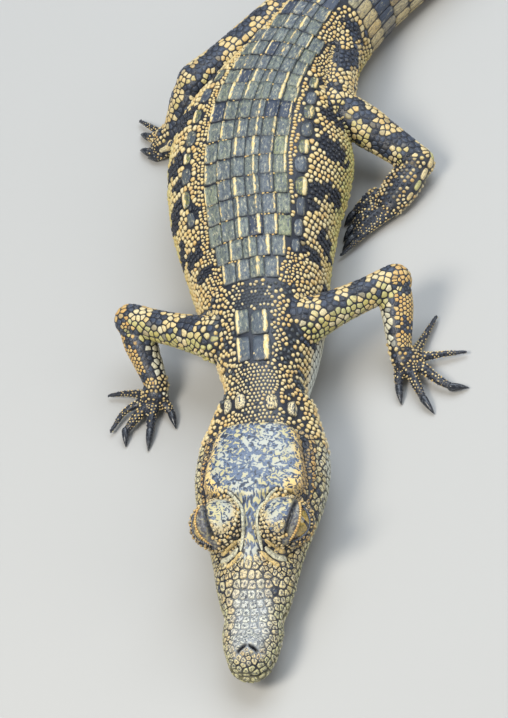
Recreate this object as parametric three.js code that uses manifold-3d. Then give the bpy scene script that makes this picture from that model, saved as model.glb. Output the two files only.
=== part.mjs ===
// Young Nile crocodile lying on its belly: the head is low, the forelegs are spread, the left hind
// leg is folded beside the flank, the right hind foot is turned out and the tail swings left.
// Millimetres, +Z up. The snout points to -Y, the animal's left side is +X, and the origin is on
// the flat of the belly at mid-trunk.

import * as THREE from 'three';
import { mergeVertices } from 'three/addons/utils/BufferGeometryUtils.js';
import Module from 'manifold-3d';

const wasm = await Module();
wasm.setup();

// ---- driving sizes ----

const gap = 0.3; // between neighbouring pieces
const bellyDepth = 0.6; // how far the round belly is pressed flat by the floor

const snoutTip = [-6.3, -143.2]; // plan place of the tip of the snout
const headTurn = -4.3; // degrees that the head is turned to the animal's right
const headRoll = 5; // degrees that the crown leans to the left
const rollHeight = 8; // height of the line that the head rolls about
const headEnd = 68; // where the head meets the neck, behind the snout tip

const trunkStart = 33; // distances along the back, from the back of the skull
const tailStart = 158;
const tailLength = 227;

// Plan route of the backbone from the back of the skull to the tip of the tail.
const backboneRoute = [
  [0, -84], [0, -70], [-0.1, -56], [-0.2, -42], [-0.4, -28], [-0.8, -14], [-1.2, 0], [-0.4, 13],
  [1.6, 26], [5.4, 38.5], [10.6, 50.5], [16.4, 62], [24, 72.5], [33.5, 82], [44.5, 91],
  [56, 101], [66.5, 113], [75, 127], [81, 143], [85, 161], [86.5, 180], [85, 199], [80.5, 218],
  [74, 236], [67, 253], [61, 269],
];

// Neck and trunk: distance behind the skull, half width on the left and on the right, height of
// the back, height of the belly. The trunk bulges on the outside of its bend.
const trunkStations = [
  [-10, 13.6, 16.2, 22.6, 4.6],
  [-3, 12.0, 15.0, 24.0, 4.4],
  [5, 11.2, 12.4, 25.0, 4.2],
  [14, 10.4, 10.9, 26.2, 3.4],
  [24, 10.2, 10.4, 27.2, 2.0],
  [32, 12.2, 12.4, 27.8, 0.8],
  [41, 14.0, 14.8, 28.6, -0.2],
  [51, 15.4, 17.0, 29.4, -bellyDepth],
  [63, 16.6, 19.6, 30.2, -bellyDepth],
  [77, 19.4, 22.4, 31.0, -bellyDepth],
  [91, 22.4, 24.6, 31.2, -bellyDepth],
  [103, 22.8, 25.6, 31.0, -bellyDepth],
  [113, 20.6, 24.6, 30.4, -bellyDepth],
  [122, 17.2, 21.0, 29.6, -bellyDepth],
  [132, 14.2, 17.0, 28.6, -bellyDepth],
  [142, 12.4, 14.0, 27.6, -bellyDepth],
  [152, 11.6, 12.4, 26.4, -bellyDepth],
  [162, 11.2, 11.4, 25.2, -bellyDepth],
];
const tailRoot = { halfWidth: 11.4, height: 25.6 };
const tailTip = { halfWidth: 0.7, height: 1.8 };
const roundness = 2.3; // 2 is an oval section, more is squarer

// Head, in its own frame with the snout tip at the origin: distance back, half width, top, chin.
const skullStations = [
  [0, 2.4, 10.6, 5.0],
  [1.6, 4.6, 12.2, 3.9],
  [4, 5.8, 13.1, 3.4],
  [8, 7.0, 13.6, 3.2],
  [12.5, 7.6, 13.5, 3.2],
  [16, 7.3, 13.7, 3.2],
  [20, 8.5, 14.4, 3.2],
  [25, 9.8, 15.8, 3.2],
  [30, 10.7, 17.8, 3.2],
  [36, 12.1, 20.2, 3.2],
  [43, 14.4, 22.4, 3.4],
  [50, 16.2, 23.2, 3.8],
  [57, 16.8, 23.2, 4.2],
  [64, 16.2, 23.0, 4.4],
  [71, 14.2, 23.0, 4.4],
  [78, 12.2, 23.4, 4.4],
];
// Flat top of the skull behind the eyes: distance back, half width, top, underside.
const tableStations = [
  [42.5, 8.4, 24.8, 17],
  [45.5, 12.0, 25.6, 17],
  [50.5, 12.4, 26.2, 17],
  [57, 11.2, 26.9, 17],
  [61, 10.4, 27.2, 17],
  [63, 9.0, 26.8, 17],
];
// Raised middle of the snout that runs up between the eyes.
const browStations = [
  [17, 3.0, 13.8, 9],
  [24, 4.2, 16.4, 11],
  [30, 4.4, 19.4, 13],
  [37, 3.0, 22.8, 16],
  [45, 4.8, 25.2, 17],
];
// Line of the closed mouth, from in front of the snout to the hinge of the jaw.
const mouthLine = [
  [-2, 7.8], [4, 7.8], [10, 7.0], [16, 8.2], [22, 7.2], [30, 7.8], [39, 8.8], [48, 10.4], [57, 12.6],
];
const jawAngle = [60.5, 8.0];

const eyeDome = { along: 36.6, out: 7.9, up: 19.9, radii: [6.4, 7.6, 6.7] };
const eyeball = { along: 36.4, out: 9.7, up: 20.4, radius: 4.7 };
const eyeOpening = { along: 36.2, out: 14.9, up: 21.0, radii: [2.6, 5.0, 2.2] };
const nostrilMound = { along: 6.2, out: 0, up: 11.9, radii: [4.0, 4.4, 2.7] };

const upperTeeth = { first: 4.5, last: 44, count: 7, radius: 0.55, length: 1.8 };
const lowerTusk = { along: 15.8, radius: 0.6, length: 3.0 };

// Tail crest: twin rows that draw together, then one row, each scute leaning back.
const twinCrest = { count: 17, pitch: 6.4, height: 1.6, rise: 0.1, spread: [0.52, 0.34] };
const singleCrest = { count: 17, pitch: 6.6, height: 4.2, rise: -0.17, spread: [0, 0] };
const crestStart = 3; // first twin scute behind the tail's start
const crestThickness = 0.9;

const skinLook = { color: '#6f6a45', roughness: 0.5, metalness: 0 };
const backLook = { color: '#5b6157', roughness: 0.55, metalness: 0 };
const headLook = { color: '#8d8b6c', roughness: 0.42, metalness: 0 };
const jawLook = { color: '#b4b08a', roughness: 0.45, metalness: 0 };
const footLook = { color: '#2f3231', roughness: 0.45, metalness: 0 };
const clawLook = { color: '#191c20', roughness: 0.3, metalness: 0 };
const eyeLook = { color: '#8d7c3a', roughness: 0.12, metalness: 0 };

// Joint places of each leg, and its digits. A digit has its root, knuckle and end, and then the
// tip of its claw where it has one.
const forelegs = {
  left: {
    root: [10, -44, 18.5],
    bend: [33.4, -31.8, 15.0],
    ankle: [32.2, -46.4, 5.6],
    sole: [34.0, -50.0, 3.0],
    digits: [
      [[31.6, -49.2, 2.6], [31.0, -52.4, 2.4], [30.8, -55.4, 1.5], [31.0, -59.8, 0.3]],
      [[33.8, -50.2, 2.8], [35.2, -55.4, 2.5], [37.0, -60.4, 1.5], [39.2, -64.6, 0.3]],
      [[36.0, -49.6, 2.8], [40.6, -55.2, 2.5], [44.2, -57.9, 1.5], [48.2, -58.0, 0.3]],
      [[36.6, -47.4, 2.6], [42.2, -47.0, 2.0], [48.0, -46.8, 1.2]],
      [[35.6, -45.2, 2.6], [38.2, -39.6, 2.0], [41.0, -33.4, 1.2]],
    ],
  },
  right: {
    root: [-10.5, -45, 18.5],
    bend: [-34.6, -31.0, 15.8],
    ankle: [-30.4, -45.2, 5.6],
    sole: [-32.2, -47.6, 3.0],
    digits: [
      [[-29.8, -47.8, 2.6], [-28.4, -50.2, 2.4], [-27.6, -51.8, 1.5], [-26.8, -55.6, 0.3]],
      [[-31.4, -48.6, 2.8], [-32.6, -52.0, 2.5], [-33.2, -56.2, 1.5], [-34.0, -61.4, 0.3]],
      [[-33.4, -48.2, 2.8], [-37.2, -52.6, 2.5], [-39.6, -55.0, 1.5], [-39.8, -58.9, 0.3]],
      [[-34.4, -46.8, 2.6], [-39.8, -48.8, 2.0], [-43.6, -54.0, 1.2]],
      [[-34.8, -44.6, 2.6], [-39.4, -42.8, 2.0], [-44.2, -41.8, 1.2]],
    ],
  },
};
const hindLegs = {
  left: {
    root: [20.5, 58, 14.5],
    bend: [19.6, 31.0, 16.8],
    ankle: [38.8, 16.6, 5.6],
    sole: [30.6, 6.6, 3.2],
    digits: [
      [[26.4, 10.4, 2.8], [22.8, 8.0, 2.2], [20.2, 6.0, 1.4], [17.8, 3.6, 0.3]],
      [[27.6, 7.6, 2.8], [23.0, 4.0, 2.4], [19.8, 1.2, 1.4], [17.4, -1.8, 0.3]],
      [[29.0, 5.4, 2.8], [23.6, 1.2, 2.4], [19.8, -2.2, 1.4], [17.0, -5.2, 0.3]],
      [[30.4, 3.6, 2.6], [23.6, -1.6, 2.0], [16.8, -7.2, 1.2]],
    ],
  },
  right: {
    root: [5.5, 68.5, 15.0],
    bend: [-17.6, 48.8, 16.0],
    ankle: [-25.6, 41.8, 5.6],
    sole: [-29.8, 42.6, 3.2],
    digits: [
      [[-28.6, 40.2, 2.8], [-31.2, 38.8, 2.2], [-32.8, 38.8, 1.4], [-35.0, 40.0, 0.3]],
      [[-29.4, 41.6, 2.8], [-32.8, 40.4, 2.4], [-34.8, 41.2, 1.4], [-37.2, 43.4, 0.3]],
      [[-30.0, 43.6, 2.8], [-33.0, 45.2, 2.4], [-34.8, 46.8, 1.4], [-37.2, 49.2, 0.3]],
      [[-29.6, 45.0, 2.6], [-33.4, 49.2, 2.0], [-37.2, 53.6, 1.1]],
    ],
  },
};

// Radii along each length of a leg, and how much wider and taller than round it is.
const foreShape = {
  upper: { name: 'upper_arm', radii: [6.4, 5.0, 4.4, 4.6], wide: 1, tall: 1 },
  lower: { name: 'forearm', radii: [3.9, 4.5, 3.9, 3.2], wide: 1, tall: 1 },
  foot: { name: 'hand', radii: [2.8, 3.4, 3.6, 3.2], wide: 1.1, tall: 0.85 },
  digit: [1.7, 1.5, 1.35, 1.1],
};
const hindShape = {
  upper: { name: 'thigh', radii: [6.8, 6.2, 5.7, 5.9], wide: 0.95, tall: 1.05 },
  lower: { name: 'shank', radii: [5.2, 5.7, 5.0, 4.4], wide: 1, tall: 1 },
  foot: { name: 'foot', radii: [3.7, 4.5, 4.7, 4.2], wide: 1.1, tall: 0.8 },
  digit: [2.1, 1.8, 1.5, 1.1],
};
const bluntDigit = [1.6, 1.2, 1.0, 0.75];
const clawRadii = [1.2, 1.0, 0.62, 0.15];

// ---- tools ----

const { degToRad, lerp, clamp } = THREE.MathUtils;
const vector = (place) => new THREE.Vector3(...place);
const skyward = new THREE.Vector3(0, 0, 1);

// Cubic from one value to the next with the slopes at both ends.
function cubic(t, from, to, slopeIn, slopeOut) {
  const a = 2 * from - 2 * to + slopeIn + slopeOut;
  const b = -3 * from + 3 * to - 2 * slopeIn - slopeOut;
  return ((a * t + b) * t + slopeIn) * t + from;
}

// One row of a station table at any distance, smooth through its neighbours.
function rowAt(stations, distance) {
  const last = stations.length - 1;
  let i = 0;
  while (i < last - 1 && distance > stations[i + 1][0]) i += 1;
  const before = stations[Math.max(i - 1, 0)];
  const from = stations[i];
  const to = stations[i + 1];
  const after = stations[Math.min(i + 2, last)];
  const span = to[0] - from[0];
  const t = clamp((distance - from[0]) / span, 0, 1);
  return from.map((value, column) => {
    const slopeIn = ((to[column] - before[column]) * span) / (to[0] - before[0]);
    const slopeOut = ((after[column] - value) * span) / (after[0] - from[0]);
    return cubic(t, value, to[column], slopeIn, slopeOut);
  });
}

// A closed three.js geometry as a solid, after place has moved each of its points.
function solidFrom(geometry, place = (point) => point) {
  const plain = new THREE.BufferGeometry();
  plain.setIndex(geometry.index);
  plain.setAttribute('position', geometry.getAttribute('position').clone());
  const points = plain.getAttribute('position');
  for (let i = 0; i < points.count; i += 1) {
    const moved = place(new THREE.Vector3().fromBufferAttribute(points, i));
    points.setXYZ(i, moved.x, moved.y, moved.z);
  }
  const merged = mergeVertices(plain, 1e-3);
  return new wasm.Manifold(new wasm.Mesh({
    numProp: 3,
    vertProperties: merged.getAttribute('position').array,
    triVerts: new Uint32Array(merged.index.array),
  }));
}

const joined = (solids) => solids.reduce((all, next) => all.add(next));

// A body lofted from a unit cylinder with squared-off oval sections. sizeAt gives the section's
// size and frameAt its place on the floor and its sideways direction.
function loft(sides, rows, from, to, sizeAt, frameAt, grow = 0) {
  const bulge = (share) => Math.sign(share) * Math.abs(share) ** (2 / roundness);
  const blank = new THREE.CylinderGeometry(1, 1, 1, sides, rows);
  return solidFrom(blank, (point) => {
    const distance = lerp(from, to, point.y + 0.5);
    const { left, right, top, bottom, widest } = sizeAt(distance);
    const radius = Math.hypot(point.x, point.z) || 1;
    const reach = (point.z > 0 ? top - widest : widest - bottom) + grow;
    const across = ((point.x > 0 ? left : right) + grow) * bulge(point.x / radius);
    const rise = reach * bulge(point.z / radius);
    const atAxis = Math.hypot(point.x, point.z) < 0.5;
    const { place, side } = frameAt(distance);
    if (atAxis) return place.clone().setZ(widest);
    return place.clone().addScaledVector(side, across).setZ(widest + rise);
  });
}

// A round-ended length of limb along a curve, from a unit capsule with four evenly spaced radii.
function limbLength(route, radii, { wide = 1, tall = 1, sides = 8, rows = 3, ends = 2, grow = 0 }) {
  const blank = new THREE.CapsuleGeometry(1, 1, ends, sides, rows);
  const stations = radii.map((radius, i) => [i / (radii.length - 1), radius]);
  return solidFrom(blank, (point) => {
    const along = clamp(point.y, -0.5, 0.5);
    const radius = rowAt(stations, along + 0.5)[1];
    const forward = route.getTangent(along + 0.5);
    const side = forward.clone().cross(skyward).normalize();
    const up = side.clone().cross(forward);
    return route.getPoint(along + 0.5)
      .addScaledVector(forward, (point.y - along) * (radius + grow))
      .addScaledVector(side, point.x * (radius * wide + grow))
      .addScaledVector(up, point.z * (radius * tall + grow));
  });
}

function block(width, depth, height, place, moved) {
  const box = new THREE.BoxGeometry(width, depth, height);
  box.translate(...place);
  return solidFrom(box, moved);
}

function ellipsoid({ along, out, up, radii }, side, sides, rows) {
  const ball = new THREE.SphereGeometry(1, sides, rows);
  ball.scale(...radii);
  ball.translate(out * side, along, up);
  return ball;
}

const floor = block(600, 900, 40, [0, 60, -20]);
const animal = new THREE.Group();

function addPiece(name, solid, look) {
  const { vertProperties, triVerts } = solid.getMesh();
  const geometry = new THREE.BufferGeometry();
  geometry.setAttribute('position', new THREE.BufferAttribute(vertProperties, 3));
  geometry.setIndex(new THREE.BufferAttribute(triVerts, 1));
  geometry.computeVertexNormals();
  const mesh = new THREE.Mesh(geometry, new THREE.MeshStandardMaterial(look));
  mesh.name = name;
  animal.add(mesh);
}

// ---- neck, trunk and tail ----

const backbone = new THREE.CatmullRomCurve3(
  backboneRoute.map(([x, y]) => new THREE.Vector3(x, y, 0)), false, 'catmullrom', 0.5);
backbone.arcLengthDivisions = 600;
const backboneLength = backbone.getLength();

function backboneFrame(distance) {
  const share = clamp(distance / backboneLength, 0, 1);
  const forward = backbone.getTangentAt(share);
  const beyond = distance - share * backboneLength;
  const place = backbone.getPointAt(share).addScaledVector(forward, beyond);
  return { place, forward, side: new THREE.Vector3(forward.y, -forward.x, 0) };
}

function trunkSizeAt(distance) {
  const [, left, right, top, bottom] = rowAt(trunkStations, distance);
  return { left, right, top, bottom, widest: lerp(bottom, top, 0.4) };
}

function tailSizeAt(distance) {
  const left = clamp(1 - (distance - tailStart) / tailLength, 0, 1);
  const halfWidth = lerp(tailTip.halfWidth, tailRoot.halfWidth, left ** 1.35);
  const top = lerp(tailTip.height, tailRoot.height, left ** 0.92);
  const widest = lerp(-bellyDepth, top, 0.4);
  return { left: halfWidth, right: halfWidth, top, bottom: -bellyDepth, widest };
}

function neckSolid() {
  const from = trunkStations[0][0];
  return loft(16, 6, from, trunkStart - gap / 2, trunkSizeAt, backboneFrame);
}

const trunkSolid = (grow) => loft(
  18, 14, trunkStart + gap / 2 - grow, tailStart - gap / 2 + grow, trunkSizeAt, backboneFrame, grow);

// A leaning plate of the crest, set into the back of the tail.
function crestScute(distance, acrossShare, height, length) {
  const rootDepth = 1.4;
  const outline = new THREE.Shape();
  outline.moveTo(0, -rootDepth);
  outline.lineTo(length, -rootDepth);
  outline.lineTo(length * 0.95, height);
  const plate = new THREE.ExtrudeGeometry(outline, { depth: crestThickness, bevelEnabled: false });
  const { left, top, widest } = tailSizeAt(distance);
  const { place, forward, side } = backboneFrame(distance);
  const drop = (1 - Math.abs(acrossShare) ** roundness) ** (1 / roundness);
  const seat = lerp(widest, top, drop);
  return solidFrom(plate, (point) => place.clone()
    .addScaledVector(forward, point.x - length / 2)
    .addScaledVector(side, acrossShare * left + point.z - crestThickness / 2)
    .setZ(seat + point.y));
}

// Scutes first to last of one crest; the twin crest has one on each side.
function crestRun(crest, start, first, last) {
  const scutes = [];
  for (let i = first; i < last; i += 1) {
    const distance = start + crest.pitch * (i + 0.5);
    const share = lerp(crest.spread[0], crest.spread[1], i / crest.count);
    for (const side of share > 0 ? [1, -1] : [1]) {
      const height = crest.height + crest.rise * i;
      scutes.push(crestScute(distance, side * share, height, crest.pitch - 0.8));
    }
  }
  return scutes;
}

function addTail() {
  const twinStart = tailStart + crestStart;
  const singleStart = twinStart + twinCrest.count * twinCrest.pitch;
  const half = 9; // scutes on the first length of each crest
  const lengths = [
    { name: 'tail_base', start: twinStart, crest: twinCrest, first: 0, last: half },
    { name: 'tail_middle', start: twinStart, crest: twinCrest, first: half, last: twinCrest.count },
    { name: 'tail_rear', start: singleStart, crest: singleCrest, first: 0, last: half },
    { name: 'tail_tip', start: singleStart, crest: singleCrest, first: half, last: singleCrest.count },
  ];
  lengths.forEach(({ name, start, crest, first, last }, i) => {
    const from = i === 0 ? tailStart : start + crest.pitch * first;
    const to = name === 'tail_tip' ? tailStart + tailLength + gap : start + crest.pitch * last;
    const flesh = loft(12, 6, from + gap / 2, to - gap / 2, tailSizeAt, backboneFrame);
    addPiece(name, joined([flesh, ...crestRun(crest, start, first, last)]).subtract(floor), backLook);
  });
}

// ---- head, in its own frame ----

const headFrame = new THREE.Matrix4().makeTranslation(snoutTip[0], snoutTip[1], rollHeight)
  .multiply(new THREE.Matrix4().makeRotationZ(degToRad(headTurn)))
  .multiply(new THREE.Matrix4().makeRotationY(degToRad(headRoll)))
  .multiply(new THREE.Matrix4().makeTranslation(0, 0, -rollHeight));
const inHead = (point) => point.applyMatrix4(headFrame);

function headLoft(stations, sides, rows, widestShare) {
  const sizeAt = (distance) => {
    const [, halfWidth, top, bottom] = rowAt(stations, distance);
    const widest = lerp(bottom, top, widestShare);
    return { left: halfWidth, right: halfWidth, top, bottom, widest };
  };
  const side = new THREE.Vector3(1, 0, 0);
  const frameAt = (distance) => ({ place: new THREE.Vector3(0, distance, 0), side });
  const from = stations[0][0];
  const to = stations[stations.length - 1][0];
  return loft(sides, rows, from, to, sizeAt, frameAt).transform(headFrame.elements);
}

// Everything below the mouth line, raised by lift.
function underMouth(lift) {
  const outline = new THREE.Shape();
  outline.moveTo(mouthLine[0][0], -5);
  mouthLine.forEach(([y, z]) => outline.lineTo(y, z + lift));
  outline.lineTo(jawAngle[0] + lift, jawAngle[1]);
  outline.lineTo(jawAngle[0] + lift, -5);
  const width = 50;
  const slice = new THREE.ExtrudeGeometry(outline, { depth: width, bevelEnabled: false });
  return solidFrom(slice, (point) => inHead(new THREE.Vector3(width / 2 - point.z, point.x, point.y)
    .multiply(new THREE.Vector3(-1, 1, 1))));
}

// A tooth at the mouth line, pointing down (-1) or up (1).
function tooth({ radius, length }, along, side, pointing, grow) {
  const [, halfWidth] = rowAt(skullStations, along);
  const cone = new THREE.ConeGeometry(radius + grow, length + grow, 5);
  cone.rotateX(pointing * Math.PI / 2);
  const height = rowAt(mouthLine, along)[1] + pointing * (length / 2 - 0.5);
  cone.translate(side * (halfWidth - 0.1), along, height);
  return solidFrom(cone, inHead);
}

function upperTeethSolids(grow) {
  const step = (upperTeeth.last - upperTeeth.first) / (upperTeeth.count - 1);
  const teeth = [];
  for (let i = 0; i < upperTeeth.count; i += 1) {
    const along = upperTeeth.first + step * i;
    const tuskSide = Math.abs(along - lowerTusk.along) < 1.6;
    if (!tuskSide) for (const side of [1, -1]) teeth.push(tooth(upperTeeth, along, side, -1, grow));
  }
  return joined(teeth);
}

const tuskSolids = (grow) => joined(
  [1, -1].map((side) => tooth(lowerTusk, lowerTusk.along, side, 1, grow)));

function skullSolid() {
  const domes = [1, -1].map((side) => solidFrom(ellipsoid(eyeDome, side, 12, 8), inHead));
  return joined([
    headLoft(skullStations, 16, 17, 0.42),
    headLoft(tableStations, 12, 4, 0.5),
    headLoft(browStations, 8, 4, 0.5),
    solidFrom(ellipsoid(nostrilMound, 0, 10, 6), inHead),
    ...domes,
  ]);
}

function addHeadAndNeck() {
  const whole = skullSolid().add(neckSolid());
  const behind = block(90, 60, 80, [0, headEnd - gap / 2 + 30, 20], inHead);
  const ahead = block(90, 120, 80, [0, headEnd + gap / 2 - 60, 20], inHead);
  const jawPart = whole.subtract(behind).intersect(underMouth(0));
  let head = whole.subtract(behind).subtract(underMouth(gap)).add(upperTeethSolids(0));
  head = head.subtract(tuskSolids(gap));
  for (const [name, side] of [['eye_left', 1], ['eye_right', -1]]) {
    const ball = (radius) => solidFrom(
      ellipsoid({ ...eyeball, radii: [radius, radius, radius] }, side, 12, 8), inHead);
    const opening = solidFrom(ellipsoid(eyeOpening, side, 10, 6), inHead);
    head = head.subtract(ball(eyeball.radius + gap)).subtract(opening);
    addPiece(name, ball(eyeball.radius), eyeLook);
  }
  addPiece('head', head, headLook);
  addPiece('lower_jaw', jawPart.subtract(upperTeethSolids(gap)).add(tuskSolids(0)), jawLook);
  addPiece('neck', whole.subtract(ahead).subtract(floor), skinLook);
}

// ---- legs ----

const straight = (from, to) => new THREE.LineCurve3(vector(from), vector(to));

function footSolid({ ankle, sole, digits }, { foot, digit }) {
  const toes = digits.map((places) => {
    const route = new THREE.CatmullRomCurve3(places.slice(0, 3).map(vector));
    const radii = places.length === 4 ? digit : bluntDigit;
    return limbLength(route, radii, { sides: 6, rows: 2, ends: 1, tall: 0.9 });
  });
  return joined([limbLength(straight(ankle, sole), foot.radii, { ...foot, rows: 1 }), ...toes]);
}

function clawSolid([, , end, tip], grow) {
  const crown = vector(end).lerp(vector(tip), 0.55).add(new THREE.Vector3(0, 0, 0.45));
  const route = new THREE.QuadraticBezierCurve3(vector(end), crown, vector(tip));
  return limbLength(route, clawRadii, { sides: 6, rows: 3, ends: 1, wide: 0.85, grow });
}

// Each length of a leg is trimmed by the one before it, and the first by the trunk and tail.
function addLeg(side, leg, shape, body) {
  const lengthSolid = ({ radii, wide, tall }, from, to, grow) => limbLength(
    straight(from, to), radii, { wide, tall, grow });
  const upper = lengthSolid(shape.upper, leg.root, leg.bend, 0).subtract(body);
  const upperGrown = lengthSolid(shape.upper, leg.root, leg.bend, gap);
  const lower = lengthSolid(shape.lower, leg.bend, leg.ankle, 0).subtract(upperGrown).subtract(body);
  const lowerGrown = lengthSolid(shape.lower, leg.bend, leg.ankle, gap);
  let foot = footSolid(leg, shape).subtract(lowerGrown).subtract(upperGrown).subtract(body);
  leg.digits.forEach((places, i) => {
    if (places.length < 4) return;
    foot = foot.subtract(clawSolid(places, gap));
    const claw = clawSolid(places, 0).subtract(floor);
    addPiece(`claw_${shape.foot.name}_${side}_${i + 1}`, claw, clawLook);
  });
  addPiece(`${shape.upper.name}_${side}`, upper.subtract(floor), skinLook);
  addPiece(`${shape.lower.name}_${side}`, lower.subtract(floor), skinLook);
  addPiece(`${shape.foot.name}_${side}`, foot.subtract(floor), footLook);
}

// ---- assembly ----

addHeadAndNeck();
addPiece('trunk', trunkSolid(0).subtract(floor), backLook);
addTail();

const tailRootLength = 60;
const body = joined([
  trunkSolid(gap),
  loft(14, 8, tailStart - gap, tailStart + tailRootLength, tailSizeAt, backboneFrame, gap),
]);
for (const [side, leg] of Object.entries(forelegs)) addLeg(side, leg, foreShape, body);
for (const [side, leg] of Object.entries(hindLegs)) addLeg(side, leg, hindShape, body);

export default animal;
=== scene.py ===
import math
from types import SimpleNamespace
import bmesh
import bpy
import numpy as np
from mathutils import Matrix, Vector, noise
from mathutils.bvhtree import BVHTree
from mathutils.kdtree import KDTree


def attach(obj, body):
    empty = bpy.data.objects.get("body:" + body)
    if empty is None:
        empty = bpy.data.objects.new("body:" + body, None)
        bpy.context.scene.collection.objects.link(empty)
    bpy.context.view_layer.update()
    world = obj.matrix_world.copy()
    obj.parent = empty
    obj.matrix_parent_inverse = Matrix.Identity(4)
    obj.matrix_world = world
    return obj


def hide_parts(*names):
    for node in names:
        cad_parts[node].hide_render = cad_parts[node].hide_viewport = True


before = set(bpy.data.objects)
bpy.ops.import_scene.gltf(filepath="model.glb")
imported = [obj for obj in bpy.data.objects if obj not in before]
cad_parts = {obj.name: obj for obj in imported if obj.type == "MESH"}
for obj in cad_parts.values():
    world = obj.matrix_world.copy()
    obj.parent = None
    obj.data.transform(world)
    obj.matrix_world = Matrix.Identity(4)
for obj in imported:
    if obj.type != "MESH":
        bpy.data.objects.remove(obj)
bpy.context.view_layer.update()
dice = np.random.default_rng(11)
print("stage: frame loaded")


# sizes in millimetres; the snout points to -Y and the animal's left is +X

bodySizes = {
    "route": [
        [0, -84], [0, -70], [-0.1, -56], [-0.2, -42], [-0.4, -28], [-0.8, -14], [-1.2, 0],
        [-0.4, 13], [1.6, 26], [5.4, 38.5], [10.6, 50.5], [16.4, 62], [24, 72.5], [33.5, 82],
        [44.5, 91], [56, 101], [66.5, 113], [75, 127], [81, 143], [85, 161], [86.5, 180],
        [85, 199], [80.5, 218], [74, 236], [67, 253], [61, 269]],
    "bellyDepth": 0.6,
    # distance behind the skull, half width left, half width right, back height, belly height
    "trunk": [
        [-10, 13.6, 16.2, 22.6, 4.6], [-3, 12.0, 15.0, 24.0, 4.4], [5, 11.2, 12.4, 25.0, 4.2],
        [14, 10.4, 10.9, 26.2, 3.4], [24, 10.2, 10.4, 27.2, 2.0], [32, 12.2, 12.4, 27.8, 0.8],
        [41, 14.0, 14.8, 28.6, -0.2], [51, 15.4, 17.0, 29.4, -0.6], [63, 16.6, 19.6, 30.2, -0.6],
        [77, 19.4, 22.4, 31.0, -0.6], [91, 22.4, 24.6, 31.2, -0.6], [103, 22.8, 25.6, 31.0, -0.6],
        [113, 20.6, 24.6, 30.4, -0.6], [122, 17.2, 21.0, 29.6, -0.6], [132, 14.2, 17.0, 28.6, -0.6],
        [142, 12.4, 14.0, 27.6, -0.6], [152, 11.6, 12.4, 26.4, -0.6], [162, 11.2, 11.4, 25.2, -0.6]],
    "tailStart": 158, "tailLength": 227,
    "tailRoot": (11.4, 25.6), "tailTip": (0.7, 1.8),
    "roundness": 2.3, "widest": 0.4,
}
headSizes = {
    "tip": (-6.3, -143.2), "turn": -4.3, "roll": 5, "rollHeight": 8,
    # distance back, half width, top, chin
    "skull": [
        [0, 2.4, 10.6, 5.0], [1.6, 4.6, 12.2, 3.9], [4, 5.8, 13.1, 3.4], [8, 7.0, 13.6, 3.2],
        [12.5, 7.6, 13.5, 3.2], [16, 7.3, 13.7, 3.2], [20, 8.5, 14.4, 3.2], [25, 9.8, 15.8, 3.2],
        [30, 10.7, 17.8, 3.2], [36, 12.1, 20.2, 3.2], [43, 14.4, 22.4, 3.4], [50, 16.2, 23.2, 3.8],
        [57, 16.8, 23.2, 4.2], [64, 16.2, 23.0, 4.4], [71, 14.2, 23.0, 4.4], [78, 12.2, 23.4, 4.4]],
    "table": [
        [42.5, 8.4, 24.8, 17], [45.5, 12.0, 25.6, 17], [50.5, 12.4, 26.2, 17], [57, 11.2, 26.9, 17],
        [61, 10.4, 27.2, 17], [63, 9.0, 26.8, 17]],
    "brow": [
        [17, 3.0, 13.8, 9], [24, 4.2, 16.4, 11], [30, 4.4, 19.4, 13], [37, 3.0, 22.8, 16],
        [45, 4.8, 25.2, 17]],
    "mouth": [
        [-2, 7.8], [4, 7.8], [10, 7.0], [16, 8.2], [22, 7.2], [30, 7.8], [39, 8.8], [48, 10.4],
        [57, 12.6]],
    "dome": ((7.9, 36.6, 19.9), (7.6, 6.4, 6.7)),  # centre out, along, up; radii out, along, up
    "eye": ((9.7, 36.4, 20.4), 4.7),
    "nostrilMound": ((0, 6.2, 11.9), (4.4, 4.0, 2.7)),
}
legSizes = {
    "fore": {
        "upper": ([6.4, 5.0, 4.4, 4.6], 1, 1), "lower": ([3.9, 4.5, 3.9, 3.2], 1, 1),
        "foot": ([2.8, 3.4, 3.6, 3.2], 1.1, 0.85), "digit": [1.7, 1.5, 1.35, 1.1]},
    "hind": {
        "upper": ([6.8, 6.2, 5.7, 5.9], 0.95, 1.05), "lower": ([5.2, 5.7, 5.0, 4.4], 1, 1),
        "foot": ([3.7, 4.5, 4.7, 4.2], 1.1, 0.8), "digit": [2.1, 1.8, 1.5, 1.1]},
    "blunt": [1.6, 1.2, 1.0, 0.75], "claw": [1.2, 1.0, 0.62, 0.15],
}
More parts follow.
